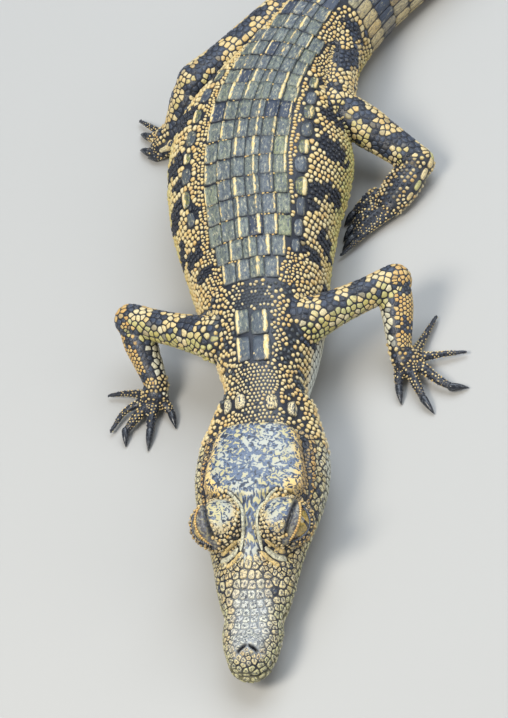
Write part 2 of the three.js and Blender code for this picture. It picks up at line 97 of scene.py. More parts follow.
# root, bend, ankle, sole, then the digits: root, knuckle, end and the claw's tip where there is one
legs = {
    "armLeft": ("fore", [10, -44, 18.5], [33.4, -31.8, 15.0], [32.2, -46.4, 5.6], [34.0, -50.0, 3.0], [
        [[31.6, -49.2, 2.6], [31.0, -52.4, 2.4], [30.8, -55.4, 1.5], [31.0, -59.8, 0.3]],
        [[33.8, -50.2, 2.8], [35.2, -55.4, 2.5], [37.0, -60.4, 1.5], [39.2, -64.6, 0.3]],
        [[36.0, -49.6, 2.8], [40.6, -55.2, 2.5], [44.2, -57.9, 1.5], [48.2, -58.0, 0.3]],
        [[36.6, -47.4, 2.6], [42.2, -47.0, 2.0], [48.0, -46.8, 1.2]],
        [[35.6, -45.2, 2.6], [38.2, -39.6, 2.0], [41.0, -33.4, 1.2]]]),
    "armRight": ("fore", [-10.5, -45, 18.5], [-34.6, -31.0, 15.8], [-30.4, -45.2, 5.6], [-32.2, -47.6, 3.0], [
        [[-29.8, -47.8, 2.6], [-28.4, -50.2, 2.4], [-27.6, -51.8, 1.5], [-26.8, -55.6, 0.3]],
        [[-31.4, -48.6, 2.8], [-32.6, -52.0, 2.5], [-33.2, -56.2, 1.5], [-34.0, -61.4, 0.3]],
        [[-33.4, -48.2, 2.8], [-37.2, -52.6, 2.5], [-39.6, -55.0, 1.5], [-39.8, -58.9, 0.3]],
        [[-34.4, -46.8, 2.6], [-39.8, -48.8, 2.0], [-43.6, -54.0, 1.2]],
        [[-34.8, -44.6, 2.6], [-39.4, -42.8, 2.0], [-44.2, -41.8, 1.2]]]),
    "legLeft": ("hind", [20.5, 58, 14.5], [19.6, 31.0, 16.8], [38.8, 16.6, 5.6], [30.6, 6.6, 3.2], [
        [[26.4, 10.4, 2.8], [22.8, 8.0, 2.2], [20.2, 6.0, 1.4], [17.8, 3.6, 0.3]],
        [[27.6, 7.6, 2.8], [23.0, 4.0, 2.4], [19.8, 1.2, 1.4], [17.4, -1.8, 0.3]],
        [[29.0, 5.4, 2.8], [23.6, 1.2, 2.4], [19.8, -2.2, 1.4], [17.0, -5.2, 0.3]],
        [[30.4, 3.6, 2.6], [23.6, -1.6, 2.0], [16.8, -7.2, 1.2]]]),
    "legRight": ("hind", [5.5, 68.5, 15.0], [-17.6, 48.8, 16.0], [-25.6, 41.8, 5.6], [-29.8, 42.6, 3.2], [
        [[-28.6, 40.2, 2.8], [-31.2, 38.8, 2.2], [-32.8, 38.8, 1.4], [-35.0, 40.0, 0.3]],
        [[-29.4, 41.6, 2.8], [-32.8, 40.4, 2.4], [-34.8, 41.2, 1.4], [-37.2, 43.4, 0.3]],
        [[-30.0, 43.6, 2.8], [-33.0, 45.2, 2.4], [-34.8, 46.8, 1.4], [-37.2, 49.2, 0.3]],
        [[-29.6, 45.0, 2.6], [-33.4, 49.2, 2.0], [-37.2, 53.6, 1.1]]]),
}
coatDepth = 0.4  # the skin lies this far inside the solids
borders = {
    "headRear": 63.5, "headFine": 66,  # along the head: where its scales end, and its carving
    "neckRear": 47, "tailFront": 154,  # behind the skull: between neck, trunk and tail
    "back": 14, "belly": 36,  # round the trunk, from the midline of the back
}


# small tools

def unit(v):
    v = np.asarray(v, float)
    return v / np.maximum(np.linalg.norm(v, axis=-1, keepdims=True), 1e-9)


def mix(a, b, t):
    return a + (b - a) * t


def smooth(low, high, x):
    t = np.clip((np.asarray(x, float) - low) / (high - low), 0, 1)
    return t * t * (3 - 2 * t)


def cubic(start, end, slopeIn, slopeOut, t):
    # the cubic between two ends with a slope at each
    a = 2 * start - 2 * end + slopeIn + slopeOut
    b = -3 * start + 3 * end - 2 * slopeIn - slopeOut
    return ((a * t + b) * t + slopeIn) * t + start


def rowsAt(stations, x):
    # a station table at any distances, smooth through its rows
    rows = np.array(stations, float)
    x = np.atleast_1d(np.asarray(x, float))
    last = len(rows) - 1
    i = np.searchsorted(rows[1:last, 0], x, side="left")
    before, start, end, after = (rows[np.clip(i + k, 0, last)] for k in (-1, 0, 1, 2))
    span = end[:, :1] - start[:, :1]
    t = np.clip((x[:, None] - start[:, :1]) / span, 0, 1)
    slopeIn = (end - before) * span / (end[:, :1] - before[:, :1])
    slopeOut = (after - start) * span / (after[:, :1] - start[:, :1])
    return cubic(start, end, slopeIn, slopeOut, t)


def lengthTo(line):
    # how far along a line each of its points is
    return np.concatenate([[0], np.cumsum(np.linalg.norm(np.diff(line, axis=0), axis=1))])


def spaced(line, step):
    # places at an even step along a line
    length = lengthTo(line)
    at = np.arange(step / 2, length[-1], step)
    return np.stack([np.interp(at, length, line[:, k]) for k in range(line.shape[1])], 1)


def alongSurface(way, up):
    # the unit direction left of a way when it lies along the surface
    return unit(way - up * (way * up).sum(-1, keepdims=True))


def inPlane(offset, ahead, up):
    # offsets from each of many places, in millimetres along its own ahead and side
    side = np.cross(ahead, up)
    return np.stack([(offset * ahead[:, None]).sum(2), (offset * side[:, None]).sum(2)], 2)


def treeOf(points):
    tree = KDTree(len(points))
    for k, p in enumerate(points):
        tree.insert(p, k)
    tree.balance()
    return tree


def throughPoints(points, count):
    # a smooth curve through the points
    p = np.array(points, float)
    n = len(p)
    p = np.vstack([2 * p[0] - p[1], p, 2 * p[-1] - p[-2]])
    u = np.linspace(0, n - 1, count)
    i = np.minimum(u.astype(int), n - 2)
    start, end = p[i + 1], p[i + 2]
    return cubic(start, end, (end - p[i]) / 2, (p[i + 3] - start) / 2, (u - i)[:, None])


def fuzz(points, scale, seed=0.0):
    # smooth noise from -1 to 1 at each point
    shift = Vector((seed * 17.3, seed * 5.1, -seed * 9.7))
    return np.array([noise.noise(Vector(p) * scale + shift) for p in points])


def newMesh(name, verts, faces):
    mesh = bpy.data.meshes.new(name)
    mesh.from_pydata((np.asarray(verts) * 0.001).tolist(), [], faces)
    mesh.validate()
    mesh.polygons.foreach_set("use_smooth", np.full(len(mesh.polygons), True))
    mesh.update()
    thing = bpy.data.objects.new(name, mesh)
    bpy.context.scene.collection.objects.link(thing)
    return thing


def giveNumbers(thing, name, values):
    # one number or one colour for each vertex
    values = np.asarray(values, np.float32)
    kind, field = "FLOAT", "value"
    if values.ndim == 2:
        kind, field = "FLOAT_COLOR", "color"
        values = np.hstack([values, np.ones((len(values), 1), np.float32)])
    layer = thing.data.attributes.new(name, kind, "POINT")
    layer.data.foreach_set(field, values.ravel())


def giveUnwrap(thing, uv):
    # one place on the unwrap for each vertex
    layer = thing.data.uv_layers.new(name="OFBake")
    corner = np.empty(len(thing.data.loops), np.int32)
    thing.data.loops.foreach_get("vertex_index", corner)
    layer.data.foreach_set("uv", np.asarray(uv, np.float32)[corner].ravel())


def grownCopy(thing):
    # the evaluated shape as a plain mesh, with the modifiers gone
    graph = bpy.context.evaluated_depsgraph_get()
    mesh = bpy.data.meshes.new_from_object(thing.evaluated_get(graph))
    thing.modifiers.clear()
    thing.data = mesh
    return thing


def vertsOf(thing):
    flat = np.empty(len(thing.data.vertices) * 3, np.float32)
    thing.data.vertices.foreach_get("co", flat)
    return flat.reshape(-1, 3).astype(float) * 1000


def putVerts(thing, verts):
    thing.data.vertices.foreach_set("co", (np.asarray(verts) * 0.001).astype(np.float32).ravel())
    thing.data.update()


# where the body is

spinePoints = throughPoints(bodySizes["route"], 9000)
spineArc = lengthTo(spinePoints)
spineForward = unit(np.gradient(spinePoints, spineArc, axis=0))


def spineAt(s):
    # place on the floor, forward and left-hand directions at distances behind the skull
    s = np.atleast_1d(np.asarray(s, float))
    inside = np.clip(s, 0, spineArc[-1])
    place = np.stack([np.interp(inside, spineArc, spinePoints[:, k]) for k in (0, 1)], 1)
    ahead = unit(np.stack([np.interp(inside, spineArc, spineForward[:, k]) for k in (0, 1)], 1))
    place = place + ahead * (s - inside)[:, None]
    return place, ahead, np.stack([ahead[:, 1], -ahead[:, 0]], 1)


def bodySection(s):
    s = np.atleast_1d(np.asarray(s, float))
    _, left, right, top, bottom = rowsAt(bodySizes["trunk"], s).T
    remains = np.clip(1 - (s - bodySizes["tailStart"]) / bodySizes["tailLength"], 0, 1)
    wide = mix(bodySizes["tailTip"][0], bodySizes["tailRoot"][0], remains ** 1.35)
    high = mix(bodySizes["tailTip"][1], bodySizes["tailRoot"][1], remains ** 0.92)
    tail = s > bodySizes["tailStart"]
    left, right, top = np.where(tail, wide, left), np.where(tail, wide, right), np.where(tail, high, top)
    bottom = np.where(tail, -bodySizes["bellyDepth"], bottom)
    return left, right, top, bottom, mix(bottom, top, bodySizes["widest"])


def squareOval(angle, left, right, up, down, power):
    # angle 0 is the top and runs towards the left
    q, c = np.sin(angle), np.cos(angle)
    across = np.sign(q) * np.abs(q) ** (2 / power) * np.where(q > 0, left, right)
    rise = np.sign(c) * np.abs(c) ** (2 / power) * np.where(c > 0, up, down)
    return across, rise


def bodyPoint(s, angle, inset=0.0):
    s, angle = np.broadcast_arrays(np.asarray(s, float), np.asarray(angle, float))
    shape = s.shape
    s, angle = s.ravel(), angle.ravel()
    left, right, top, bottom, widest = bodySection(s)
    across, rise = squareOval(
        angle, left - inset, right - inset, top - inset - widest, widest - bottom - inset,
        bodySizes["roundness"])
    place, _, side = spineAt(s)
    out = np.column_stack([place + side * across[:, None], np.maximum(widest + rise, inset)])
    return out.reshape(shape + (3,))


arcSteps = np.arange(-10.0, 386.0, 1.0)
arcAngles = np.linspace(-math.pi, math.pi, 321)
girthPoints = bodyPoint(arcSteps[:, None], arcAngles[None, :])
girth = np.concatenate([
    np.zeros((len(arcSteps), 1)),
    np.cumsum(np.linalg.norm(np.diff(girthPoints, axis=1), axis=2), axis=1)], axis=1)
girth -= girth[:, len(arcAngles) // 2][:, None]  # 0 on the midline of the back


def girthRow(s):
    return np.clip(np.round(s - arcSteps[0]).astype(int), 0, len(arcSteps) - 1)


def angleAt(s, arc):
    # the section angle that is so far round the body from the midline of the back
    s, arc = np.broadcast_arrays(np.atleast_1d(np.asarray(s, float)), np.asarray(arc, float))
    row = girthRow(s)
    out = np.empty(s.shape)
    for i in np.unique(row):
        at = row == i
        out[at] = np.interp(arc[at], girth[i], arcAngles)
    return out


# where the head is

turn, roll = math.radians(headSizes["turn"]), math.radians(headSizes["roll"])
headTurnRoll = np.array(Matrix.Rotation(turn, 3, "Z") @ Matrix.Rotation(roll, 3, "Y"))
headPivot = np.array([*headSizes["tip"], headSizes["rollHeight"]])
headLift = np.array([0, 0, headSizes["rollHeight"]])


def fromHead(p):
    # head places are out to the left, along from the snout's tip, and up
    return (np.asarray(p, float) - headLift) @ headTurnRoll.T + headPivot


def toHead(p):
    return (np.asarray(p, float) - headPivot) @ headTurnRoll + headLift


def headLoft(stations, power, share, sides, step, inset):
    table = np.array(stations, float)
    along = np.arange(table[0, 0], table[-1, 0] + step / 2, step)
    _, wide, top, bottom = rowsAt(stations, along).T
    widest = mix(bottom, top, share)
    angle = np.linspace(0, 2 * math.pi, sides, endpoint=False)
    across, rise = squareOval(
        angle[None, :], wide[:, None] - inset, wide[:, None] - inset,
        (top - widest)[:, None] - inset, (widest - bottom)[:, None] - inset, power)
    points = np.stack([across, np.broadcast_to(along[:, None], across.shape), widest[:, None] + rise], 2)
    return fromHead(points)


# the skin's parts

def tubeFaces(rows, sides, start=0):
    faces = []
    for r in range(rows - 1):
        for k in range(sides):
            n = (k + 1) % sides
            a, b = start + r * sides, start + (r + 1) * sides
            faces.append((a + k, a + n, b + n, b + k))
    faces.append(tuple(start + k for k in reversed(range(sides))))
    faces.append(tuple(start + (rows - 1) * sides + k for k in range(sides)))
    return faces


class Heap:
    # closed shells gathered for the remesh
    def __init__(self):
        self.verts, self.faces, self.count = [], [], 0

    def tube(self, points):
        rows, sides = points.shape[:2]
        self.faces += tubeFaces(rows, sides, self.count)
        self.verts.append(points.reshape(-1, 3))
        self.count += rows * sides

    def ball(self, centre, radii, frameOf=lambda p: p, sides=36, rows=20):
        tilt = np.linspace(-0.5, 0.5, rows + 2)[1:-1] * math.pi
        round_ = np.linspace(0, 2 * math.pi, sides, endpoint=False)
        p = np.stack([
            np.cos(tilt)[:, None] * np.cos(round_), np.cos(tilt)[:, None] * np.sin(round_),
            np.broadcast_to(np.sin(tilt)[:, None], (rows, sides))], 2)
        self.tube(frameOf(p * np.array(radii) + np.array(centre)))


def limbFrame(points):
    forward = unit(np.gradient(points, axis=0))
    side = unit(np.cross(forward, [0, 0, 1.0]))
    return forward, side, np.cross(side, forward)


def limbTube(points, radii, wide=1.0, tall=1.0, inset=0.0, sides=22, rows=26):
    # a round-ended length of limb along a curve
    forward, side, up = limbFrame(points)
    stations = [[i / (len(radii) - 1), r] for i, r in enumerate(radii)]
    y = np.concatenate([
        -np.sin(np.linspace(0.92, 0.15, 6) * math.pi / 2),
        np.linspace(0, 1, rows), 1 + np.sin(np.linspace(0.2, 0.92, 6) * math.pi / 2)])
    t = np.clip(y, 0, 1)
    beyond = y - t
    ring = np.sqrt(np.maximum(1 - beyond ** 2, 0.02))
    radius = rowsAt(stations, t)[:, 1]
    even = np.linspace(0, 1, len(points))
    at = lambda table: np.stack([np.interp(t, even, table[:, k]) for k in range(3)], 1)
    centre = at(points) + at(forward) * (beyond * (radius - inset))[:, None]
    angle = np.linspace(0, 2 * math.pi, sides, endpoint=False)
    c, q = np.cos(angle), np.sin(angle)
    reachSide = (ring * (radius * wide - inset))[:, None, None]
    reachUp = (ring * (radius * tall - inset))[:, None, None]
    return (centre[:, None] + at(side)[:, None] * reachSide * c[None, :, None]
            + at(up)[:, None] * reachUp * q[None, :, None])


print("stage: tools ready")


# one skin over everything soft

skinSettings = {
    "voxel": 0.00042, "smoothing": 0.5, "smoothTurns": 5, "keepTriangles": 190000,
    "bodyStep": 1.5, "bodySides": 72, "tablePower": 2.9,
}


def straightLine(a, b, count=12):
    return mix(np.array(a, float), np.array(b, float), np.linspace(0, 1, count)[:, None])


limbParts = []
for legName, (kind, root, bend, ankle, sole, digits) in legs.items():
    shape = legSizes[kind]
    lines = [("upper", straightLine(root, bend), *shape["upper"]),
             ("lower", straightLine(bend, ankle), *shape["lower"]),
             ("foot", straightLine(ankle, sole), *shape["foot"])]
    for k, places in enumerate(digits):
        radii = shape["digit"] if len(places) == 4 else legSizes["blunt"]
        lines.append((f"digit{k}", throughPoints(places[:3], 12), radii, 1, 0.9))
    for part, line, radii, wide, tall in lines:
        limbParts.append({
            "leg": legName, "kind": kind, "part": part.rstrip("01234"), "line": line, "radii": radii,
            "wide": wide, "tall": tall, "coat": legName[:3] + "Scales" + legName[3:]})


def buildSkin():
    heap = Heap()
    s = np.arange(-10, 385.4, skinSettings["bodyStep"])
    angle = np.linspace(-math.pi, math.pi, skinSettings["bodySides"], endpoint=False)
    heap.tube(bodyPoint(s[:, None], angle[None, :], coatDepth))
    heap.tube(headLoft(headSizes["skull"], 2.3, 0.42, 64, 0.8, coatDepth))
    heap.tube(headLoft(headSizes["table"], skinSettings["tablePower"], 0.5, 48, 1.2, 0.3))
    heap.tube(headLoft(headSizes["brow"], 2.3, 0.5, 32, 1.5, 0.3))
    centre, radii = headSizes["dome"]
    for side in (1, -1):
        heap.ball(np.array(centre) * [side, 1, 1], np.array(radii) - 0.3, fromHead)
        heap.ball(np.array([5.6, 43.6, 18.6]) * [side, 1, 1], [5.2, 3.8, 5.4], fromHead)
    centre, radii = headSizes["nostrilMound"]
    heap.ball(centre, np.array(radii) - 0.3, fromHead)
    for limb in limbParts:
        inset = coatDepth if limb["part"] in ("upper", "lower", "foot") else 0.22
        sides = 26 if inset == coatDepth else 14
        heap.tube(limbTube(limb["line"], limb["radii"], limb["wide"], limb["tall"], inset, sides))
    verts = np.vstack(heap.verts)
    verts[:, 2] = np.maximum(verts[:, 2], 0.3)
    skin = newMesh("skin", verts, heap.faces)
    remesh = skin.modifiers.new("oneSkin", "REMESH")
    remesh.mode = "VOXEL"
    remesh.voxel_size = skinSettings["voxel"]
    relax = skin.modifiers.new("relax", "SMOOTH")
    relax.factor = skinSettings["smoothing"]
    relax.iterations = skinSettings["smoothTurns"]
    grownCopy(skin)
    # the head keeps its fine faces, the rest is thinned
    share = skinSettings["keepTriangles"] / (2 * len(skin.data.polygons))
    headAlong = toHead(vertsOf(skin))[:, 1]
    keep = skin.vertex_groups.new(name="thin")
    far = np.nonzero(headAlong > borders["headFine"])[0]
    keep.add(far.tolist(), 1.0, "REPLACE")
    thin = skin.modifiers.new("thin", "DECIMATE")
    thin.ratio = min(1.0, share)
    thin.vertex_group = "thin"
    thin.vertex_group_factor = 1.0
    grownCopy(skin)
    print("stage: skin has", len(skin.data.polygons), "faces")
    return skin


skin = buildSkin()


# carving the head: lids, folds, nostrils, the mouth and the ears

eyeLids = {
    # corners of the opening as seen from the middle of the ball: degrees towards the back, degrees up
    "rear": (46, 50), "front": (-101, -18),
    "spread": 69, "upper": {1: -6, -1: -15}, "lower": -42, "sunk": 4.1, "thick": 5.2, "lowerThick": 4.95,
}
carvings = {
    # each fold: width, depth, then its line as out, along on the top of the head
    "lidFold": (0.5, 0.8, [
        (11.3, 41.0), (11.2, 38.4), (10.7, 35.6), (10.1, 33.4), (9.4, 31.9), (8.7, 30.7), (8.2, 29.6)]),
    "browFold": (0.32, 0.35, [
        (2.9, 31.0), (2.45, 33.4), (2.45, 37), (3.1, 39.8), (4.6, 41.8), (6.6, 43.0), (9.8, 43.4)]),
    "frontFold": (0.34, 0.30, [(2.2, 27.6), (4.6, 27.6), (7.2, 26.2), (9.0, 25.4)]),
    "tableFold": (0.50, 0.55, [
        (7.2, 42.3), (10.2, 42.6), (12.2, 44.1), (13.0, 46.8), (12.9, 50.3), (12.3, 53.4), (11.7, 57),
        (11.0, 61)]),
    "templeFold": (0.42, 0.5, [
        (12.9, 44.2), (14.1, 47.2), (14.6, 50.5), (14.8, 55), (14.6, 59), (14.0, 63)]),
}
nostril = {"lines": [(2.3, 3.7), (1.45, 4.2), (0.55, 4.7)], "width": 0.34, "depth": 0.85, "rim": 0.22}


def eyeAxes():
    # the lids' own directions on the left eye: middle of the opening, towards its rear corner, and above it
    corners = []
    for back, up in (eyeLids["rear"], eyeLids["front"]):
        b, u = math.radians(back), math.radians(up)
        corners.append(np.array([math.cos(u) * math.cos(b), math.cos(u) * math.sin(b), math.sin(u)]))
    rear, front = corners
    return unit(rear + front), unit(rear - front), unit(np.cross(front, rear))


lidMiddle, lidLong, lidAbove = eyeAxes()


def eyeMiddle(side):
    return np.array(headSizes["eye"][0]) * [side, 1, 1]


def eyeAngles(head, side):
    # along the lids towards the rear corner, above them, and distance from the middle of the ball
    d = (head - eyeMiddle(side)) * [side, 1, 1]
    far = np.linalg.norm(d, axis=-1)
    along = np.degrees(np.arctan2(d @ lidLong, d @ lidMiddle))
    return along, np.degrees(np.arcsin(np.clip((d @ lidAbove) / far, -1, 1))), far


def lidPoint(along, above, far, side):
    a, e = np.radians(along), np.radians(above)
    d = (lidMiddle * (np.cos(e) * np.cos(a))[:, None] + lidLong * (np.cos(e) * np.sin(a))[:, None]
         + lidAbove * np.sin(e)[:, None])
    return fromHead((d * far + np.array(headSizes["eye"][0])) * [side, 1, 1])


def lidMargins(turned, side):
    c = np.clip(np.cos(np.clip(np.abs(turned) / eyeLids["spread"], 0, 1) * math.pi / 2), 0, 1)
    return eyeLids["upper"][side] * c, eyeLids["lower"] * c ** 0.8


def lineGap(points, line):
    # distance from each flat point to a broken line
    line = np.array(line, float)
    best = np.full(len(points), 1e3)
    for a, b in zip(line[:-1], line[1:]):
        t = np.clip(((points - a) @ (b - a)) / ((b - a) @ (b - a)), 0, 1)
        best = np.minimum(best, np.linalg.norm(points - a - t[:, None] * (b - a), axis=1))
    return best


def mouthHeight(along):
    return np.interp(along, *np.array(throughPoints(headSizes["mouth"], 80)).T)


def carveHead(thing):
    verts = vertsOf(thing)
    normals = np.empty(len(verts) * 3, np.float32)
    thing.data.vertex_normals.foreach_get("vector", normals)
    normals = normals.reshape(-1, 3).astype(float)
    head = toHead(verts)
    headUp = normals @ headTurnRoll
    here = head[:, 1] < borders["headFine"]
    flat = np.column_stack([np.abs(head[:, 0]), head[:, 1]])
    depth, shade = np.zeros(len(verts)), np.zeros(len(verts))
    top = smooth(0.05, 0.35, headUp[:, 2])

    def cut(gap, width, deep, where):
        profile = np.exp(-((gap / width) ** 2)) * where
        np.maximum(depth, deep * profile, out=depth)
        np.maximum(shade, np.exp(-((gap / (width * 1.15)) ** 2)) * where, out=shade)

    for width, deep, line in carvings.values():
        cut(lineGap(flat, throughPoints([(*p, 0) for p in line], 30)[:, :2]), width, deep, top * here)
    slit, onTop = lineGap(flat, nostril["lines"]), (head[:, 2] > 12) * here
    cut(slit, nostril["width"], nostril["depth"], onTop)
    np.maximum(shade, smooth(0.5, 0.28, slit) * onTop, out=shade)
    ridge = np.exp(-(((slit - 0.85) / 0.35) ** 2)) * onTop
    depth -= nostril["rim"] * ridge * (depth < 0.1)
    mouth = np.abs(head[:, 2] - mouthHeight(head[:, 1]))
    sideways = smooth(0.25, 0.6, np.hypot(headUp[:, 0], np.minimum(headUp[:, 1], 0)))
    cut(mouth, 0.36, 0.6, sideways * (head[:, 1] < 58) * here)
    ear = np.hypot((head[:, 1] - 51.5) / 4.2, (head[:, 2] - 22.6 - (head[:, 1] - 51.5) * 0.04) / 0.45)
    cut(np.maximum(ear - 0.6, 0) * 0.8, 0.5, 0.6, here * (np.abs(head[:, 0]) > 10) * (headUp[:, 2] < 0.8))
    verts -= normals * depth[:, None]
    head = toHead(verts)
    for side in (1, -1):
        turned, raised, far = eyeAngles(head, side)
        high, low = lidMargins(turned, side)
        near = (far < 9) & here & (head[:, 0] * side > 4)
        inside = np.minimum(high - raised, raised - low)  # degrees inside the opening
        open_ = smooth(-1.5, 2.5, inside) * (np.abs(turned) < eyeLids["spread"]) * near
        centre = eyeMiddle(side)
        outward = unit(head - centre)
        lid = np.maximum(far, eyeLids["thick"])
        lid = np.where(raised < (high + low) / 2, np.clip(far, 4.7, eyeLids["lowerThick"]), lid)
        nearLid = near & (inside > -14) & (np.abs(turned) < eyeLids["spread"] + 6)
        reach = np.where(nearLid, mix(lid, eyeLids["sunk"], open_), far)
        head = np.where(nearLid[:, None], centre + outward * reach[:, None], head)
        shade = np.maximum(shade, open_)
    moved = fromHead(head)
    verts = np.where(here[:, None], moved, verts)
    verts[:, 2] = np.maximum(verts[:, 2], 0.3)
    putVerts(thing, verts)
    return np.clip(shade, 0, 1)


skinShade = carveHead(skin)


# finding which part of the animal a place is on

spineTreeArc = np.concatenate([np.arange(-20.0, 0), spineArc[::6]])  # it goes on 20 mm into the head
spineTree = treeOf(np.pad(spineAt(spineTreeArc)[0], ((0, 0), (0, 1))))


def bodyPlace(points):
    # distance behind the skull, distance round from the midline, and height over the surface
    s = np.array([spineTreeArc[spineTree.find((p[0], p[1], 0))[1]] for p in points])
    for _ in range(2):
        place, ahead, side = spineAt(s)
        s = s + ((points[:, :2] - place) * ahead).sum(1)
    place, ahead, side = spineAt(s)
    across = ((points[:, :2] - place) * side).sum(1)
    left, right, top, bottom, widest = bodySection(s)
    half = np.where(across > 0, left, right)
    rise = points[:, 2] - widest
    tall = np.where(rise > 0, top - widest, widest - bottom)
    power = bodySizes["roundness"]
    x, z = np.abs(across / half) ** (power / 2), np.abs(rise / tall) ** (power / 2)
    angle = np.arctan2(np.sign(across) * x, np.sign(rise) * z)
    ratio = np.hypot(x, z) ** (2 / power)
    row = girthRow(s)
    arc = np.empty(len(s))
    for i in np.unique(row):
        at = row == i
        arc[at] = np.interp(angle[at], arcAngles, girth[i])
    return s, arc, (ratio - 1) * np.minimum(half, tall)


def limbPlace(points):
    # the nearest length of limb, how far along it, the angle round it and height over its surface
    n = len(points)
    best, which = np.full(n, 1e3), np.full(n, -1)
    along, angle = np.zeros(n), np.zeros(n)
    for i, limb in enumerate(limbParts):
        line, reach = limb["line"], max(limb["radii"]) + 5
        near = np.nonzero(np.all((points > line.min(0) - reach) & (points < line.max(0) + reach), axis=1))[0]
        if len(near) == 0:
            continue
        gaps = points[near][:, None] - line[None]
        k = np.argmin((gaps ** 2).sum(2), axis=1)
        forward, side, up = limbFrame(line)
        pitch = np.linalg.norm(np.diff(line, axis=0), axis=1).mean()
        offset = gaps[np.arange(len(near)), k]
        beyond = (offset * forward[k]).sum(1)
        t = (k + beyond / pitch) / (len(line) - 1)
        x, z = (offset * side[k]).sum(1), (offset * up[k]).sum(1)
        stations = [[j / (len(limb["radii"]) - 1), r] for j, r in enumerate(limb["radii"])]
        radius = rowsAt(stations, np.clip(t, 0, 1))[:, 1]
        over = np.maximum(np.abs(t - 0.5) - 0.5, 0) * pitch * (len(line) - 1)
        high = np.sqrt((x / limb["wide"]) ** 2 + (z / limb["tall"]) ** 2 + over ** 2) - radius
        better = np.abs(high) < np.abs(best[near])
        at = near[better]
        best[at], which[at] = high[better], i
        along[at], angle[at] = t[better], np.arctan2(z, x)[better]
    return which, along, angle, best


headCentre = 9.0  # height of the line that the head's unwrap goes round
headRadius = 10  # and how far from that line it is laid out
limbGap = 1.5  # half the room between two parts on a leg's unwrap


class Places:
    # where each of many points is on the animal
    def __init__(self, points):
        self.p = points
        self.head = toHead(points)
        self.s, self.arc, overBody = bodyPlace(points)
        self.limb, self.along, self.angle, overLimb = limbPlace(points)
        onHead = (self.head[:, 1] < borders["headRear"]) & (np.abs(self.head[:, 0]) < 22)
        self.limb[(np.abs(overLimb) > np.abs(overBody) + 0.2) | onHead] = -1
        self.kind = np.where(onHead, 0, np.where(self.limb >= 0, 2, 1))  # head, body, limb
        self.headAngle = np.arctan2(self.head[:, 0], self.head[:, 2] - headCentre)

    def unwrap(self):
        # millimetres on each part's own unwrap, with room between the parts of a leg
        uv = np.column_stack([self.s, self.arc])
        uv[self.kind == 0] = np.column_stack([self.head[:, 1], self.headAngle * headRadius])[self.kind == 0]
        shelf = 0.0
        for i, limb in enumerate(limbParts):
            if limb["part"] == "upper":
                shelf = 0.0
            middle = float(np.mean(limb["radii"]))
            length = np.linalg.norm(limb["line"][-1] - limb["line"][0])
            shelf += math.pi * middle + limbGap
            at = self.limb == i
            uv[at] = np.column_stack([self.along[at] * length, shelf - self.angle[at] * middle])
            shelf += math.pi * middle + limbGap
        return uv

    def ahead(self):
        # the direction in which each part's scales lie
        _, forward, _ = spineAt(self.s)
        out = np.column_stack([forward, np.zeros(len(self.s))])
        out[self.kind == 0] = headTurnRoll[:, 1]
        for i, limb in enumerate(limbParts):
            out[self.limb == i] = unit(limb["line"][-1] - limb["line"][0])
        return out


skinTree = BVHTree.FromPolygons(
    [tuple(p) for p in vertsOf(skin)], [tuple(f.vertices) for f in skin.data.polygons])


def ontoSkin(points):
    hit, up = np.empty((len(points), 3)), np.empty((len(points), 3))
    for k, p in enumerate(points):
        spot, normal, _, _ = skinTree.find_nearest(Vector(p), 30.0)
        hit[k], up[k] = spot, normal
    return hit, up


def castOn(start, way):
    hit = skinTree.ray_cast(Vector(start), Vector(way))
    if hit[0] is None:
        hit = skinTree.find_nearest(Vector(start) + Vector(way) * 22)
    return np.array(hit[0]), np.array(hit[1])


def onHeadTop(out, along):
    # the skin straight below places over the head
    down = headTurnRoll @ np.array([0, 0, -1.0])
    found = [castOn(fromHead([x, y, 45.0]), down) for x, y in zip(np.atleast_1d(out), np.atleast_1d(along))]
    return np.array([p for p, _ in found]), np.array([n for _, n in found])


def onHeadSide(side, along, high):
    inward = headTurnRoll @ np.array([-side, 0, 0.0])
    found = [castOn(fromHead([side * 40.0, y, z]), inward) for y, z in zip(along, high)]
    return np.array([p for p, _ in found]), np.array([n for _, n in found])


print("stage: skin tree ready")


# beds of scales: where each scale grows, how big, how it lies and what colour it is

paint = {
    "cream": (0.68, 0.50, 0.20), "orange": (0.60, 0.35, 0.10), "pale": (0.68, 0.61, 0.39),
    "green": (0.37, 0.38, 0.08), "black": (0.014, 0.017, 0.026), "slate": (0.085, 0.115, 0.18),
    "stone": (0.150, 0.172, 0.138), "sheen": (0.43, 0.46, 0.48), "white": (0.60, 0.62, 0.55),
    "olive": (0.30, 0.27, 0.10), "amber": (0.60, 0.38, 0.10), "ash": (0.12, 0.14, 0.155),
    "mark": (0.42, 0.43, 0.37), "warmMark": (0.47, 0.42, 0.22), "blue": (0.095, 0.13, 0.20),
    "bone": (0.60, 0.58, 0.42),
}
paint = SimpleNamespace(**{name: np.array(rgb) for name, rgb in paint.items()})

# profile: share of the way out from the middle, then share of the height; -1 is under the skin;
# round: how straight the sides are; gap: between neighbours; cap: the farthest that one spreads
scaleLooks = {
    "bead": {"sides": 8, "profile": [(0, 1), (0.5, 0.86), (0.85, 0.42), (1, -1)], "round": 5, "gap": 0.3,
             "height": 0.42, "sink": 0.15, "cap": 0.8},
    "oval": {"sides": 10, "profile": [(0, 1), (0.5, 0.9), (0.86, 0.52), (1, -1)], "round": 6, "gap": 0.3,
             "height": 0.5, "sink": 0.18, "cap": 1.2},
    "tile": {"sides": 14, "profile": [(0, 1), (0.62, 0.95), (0.92, 0.66), (1, -1)], "round": 16, "gap": 0.2,
             "height": 0.36, "sink": 0.2, "cap": 2.6},
    "belly": {"sides": 12, "profile": [(0, 1), (0.8, 0.9), (1, -1)], "round": 14, "gap": 0.25,
              "height": 0.22, "sink": 0.2, "cap": 3.2},
}
beds = []
takenAt = []


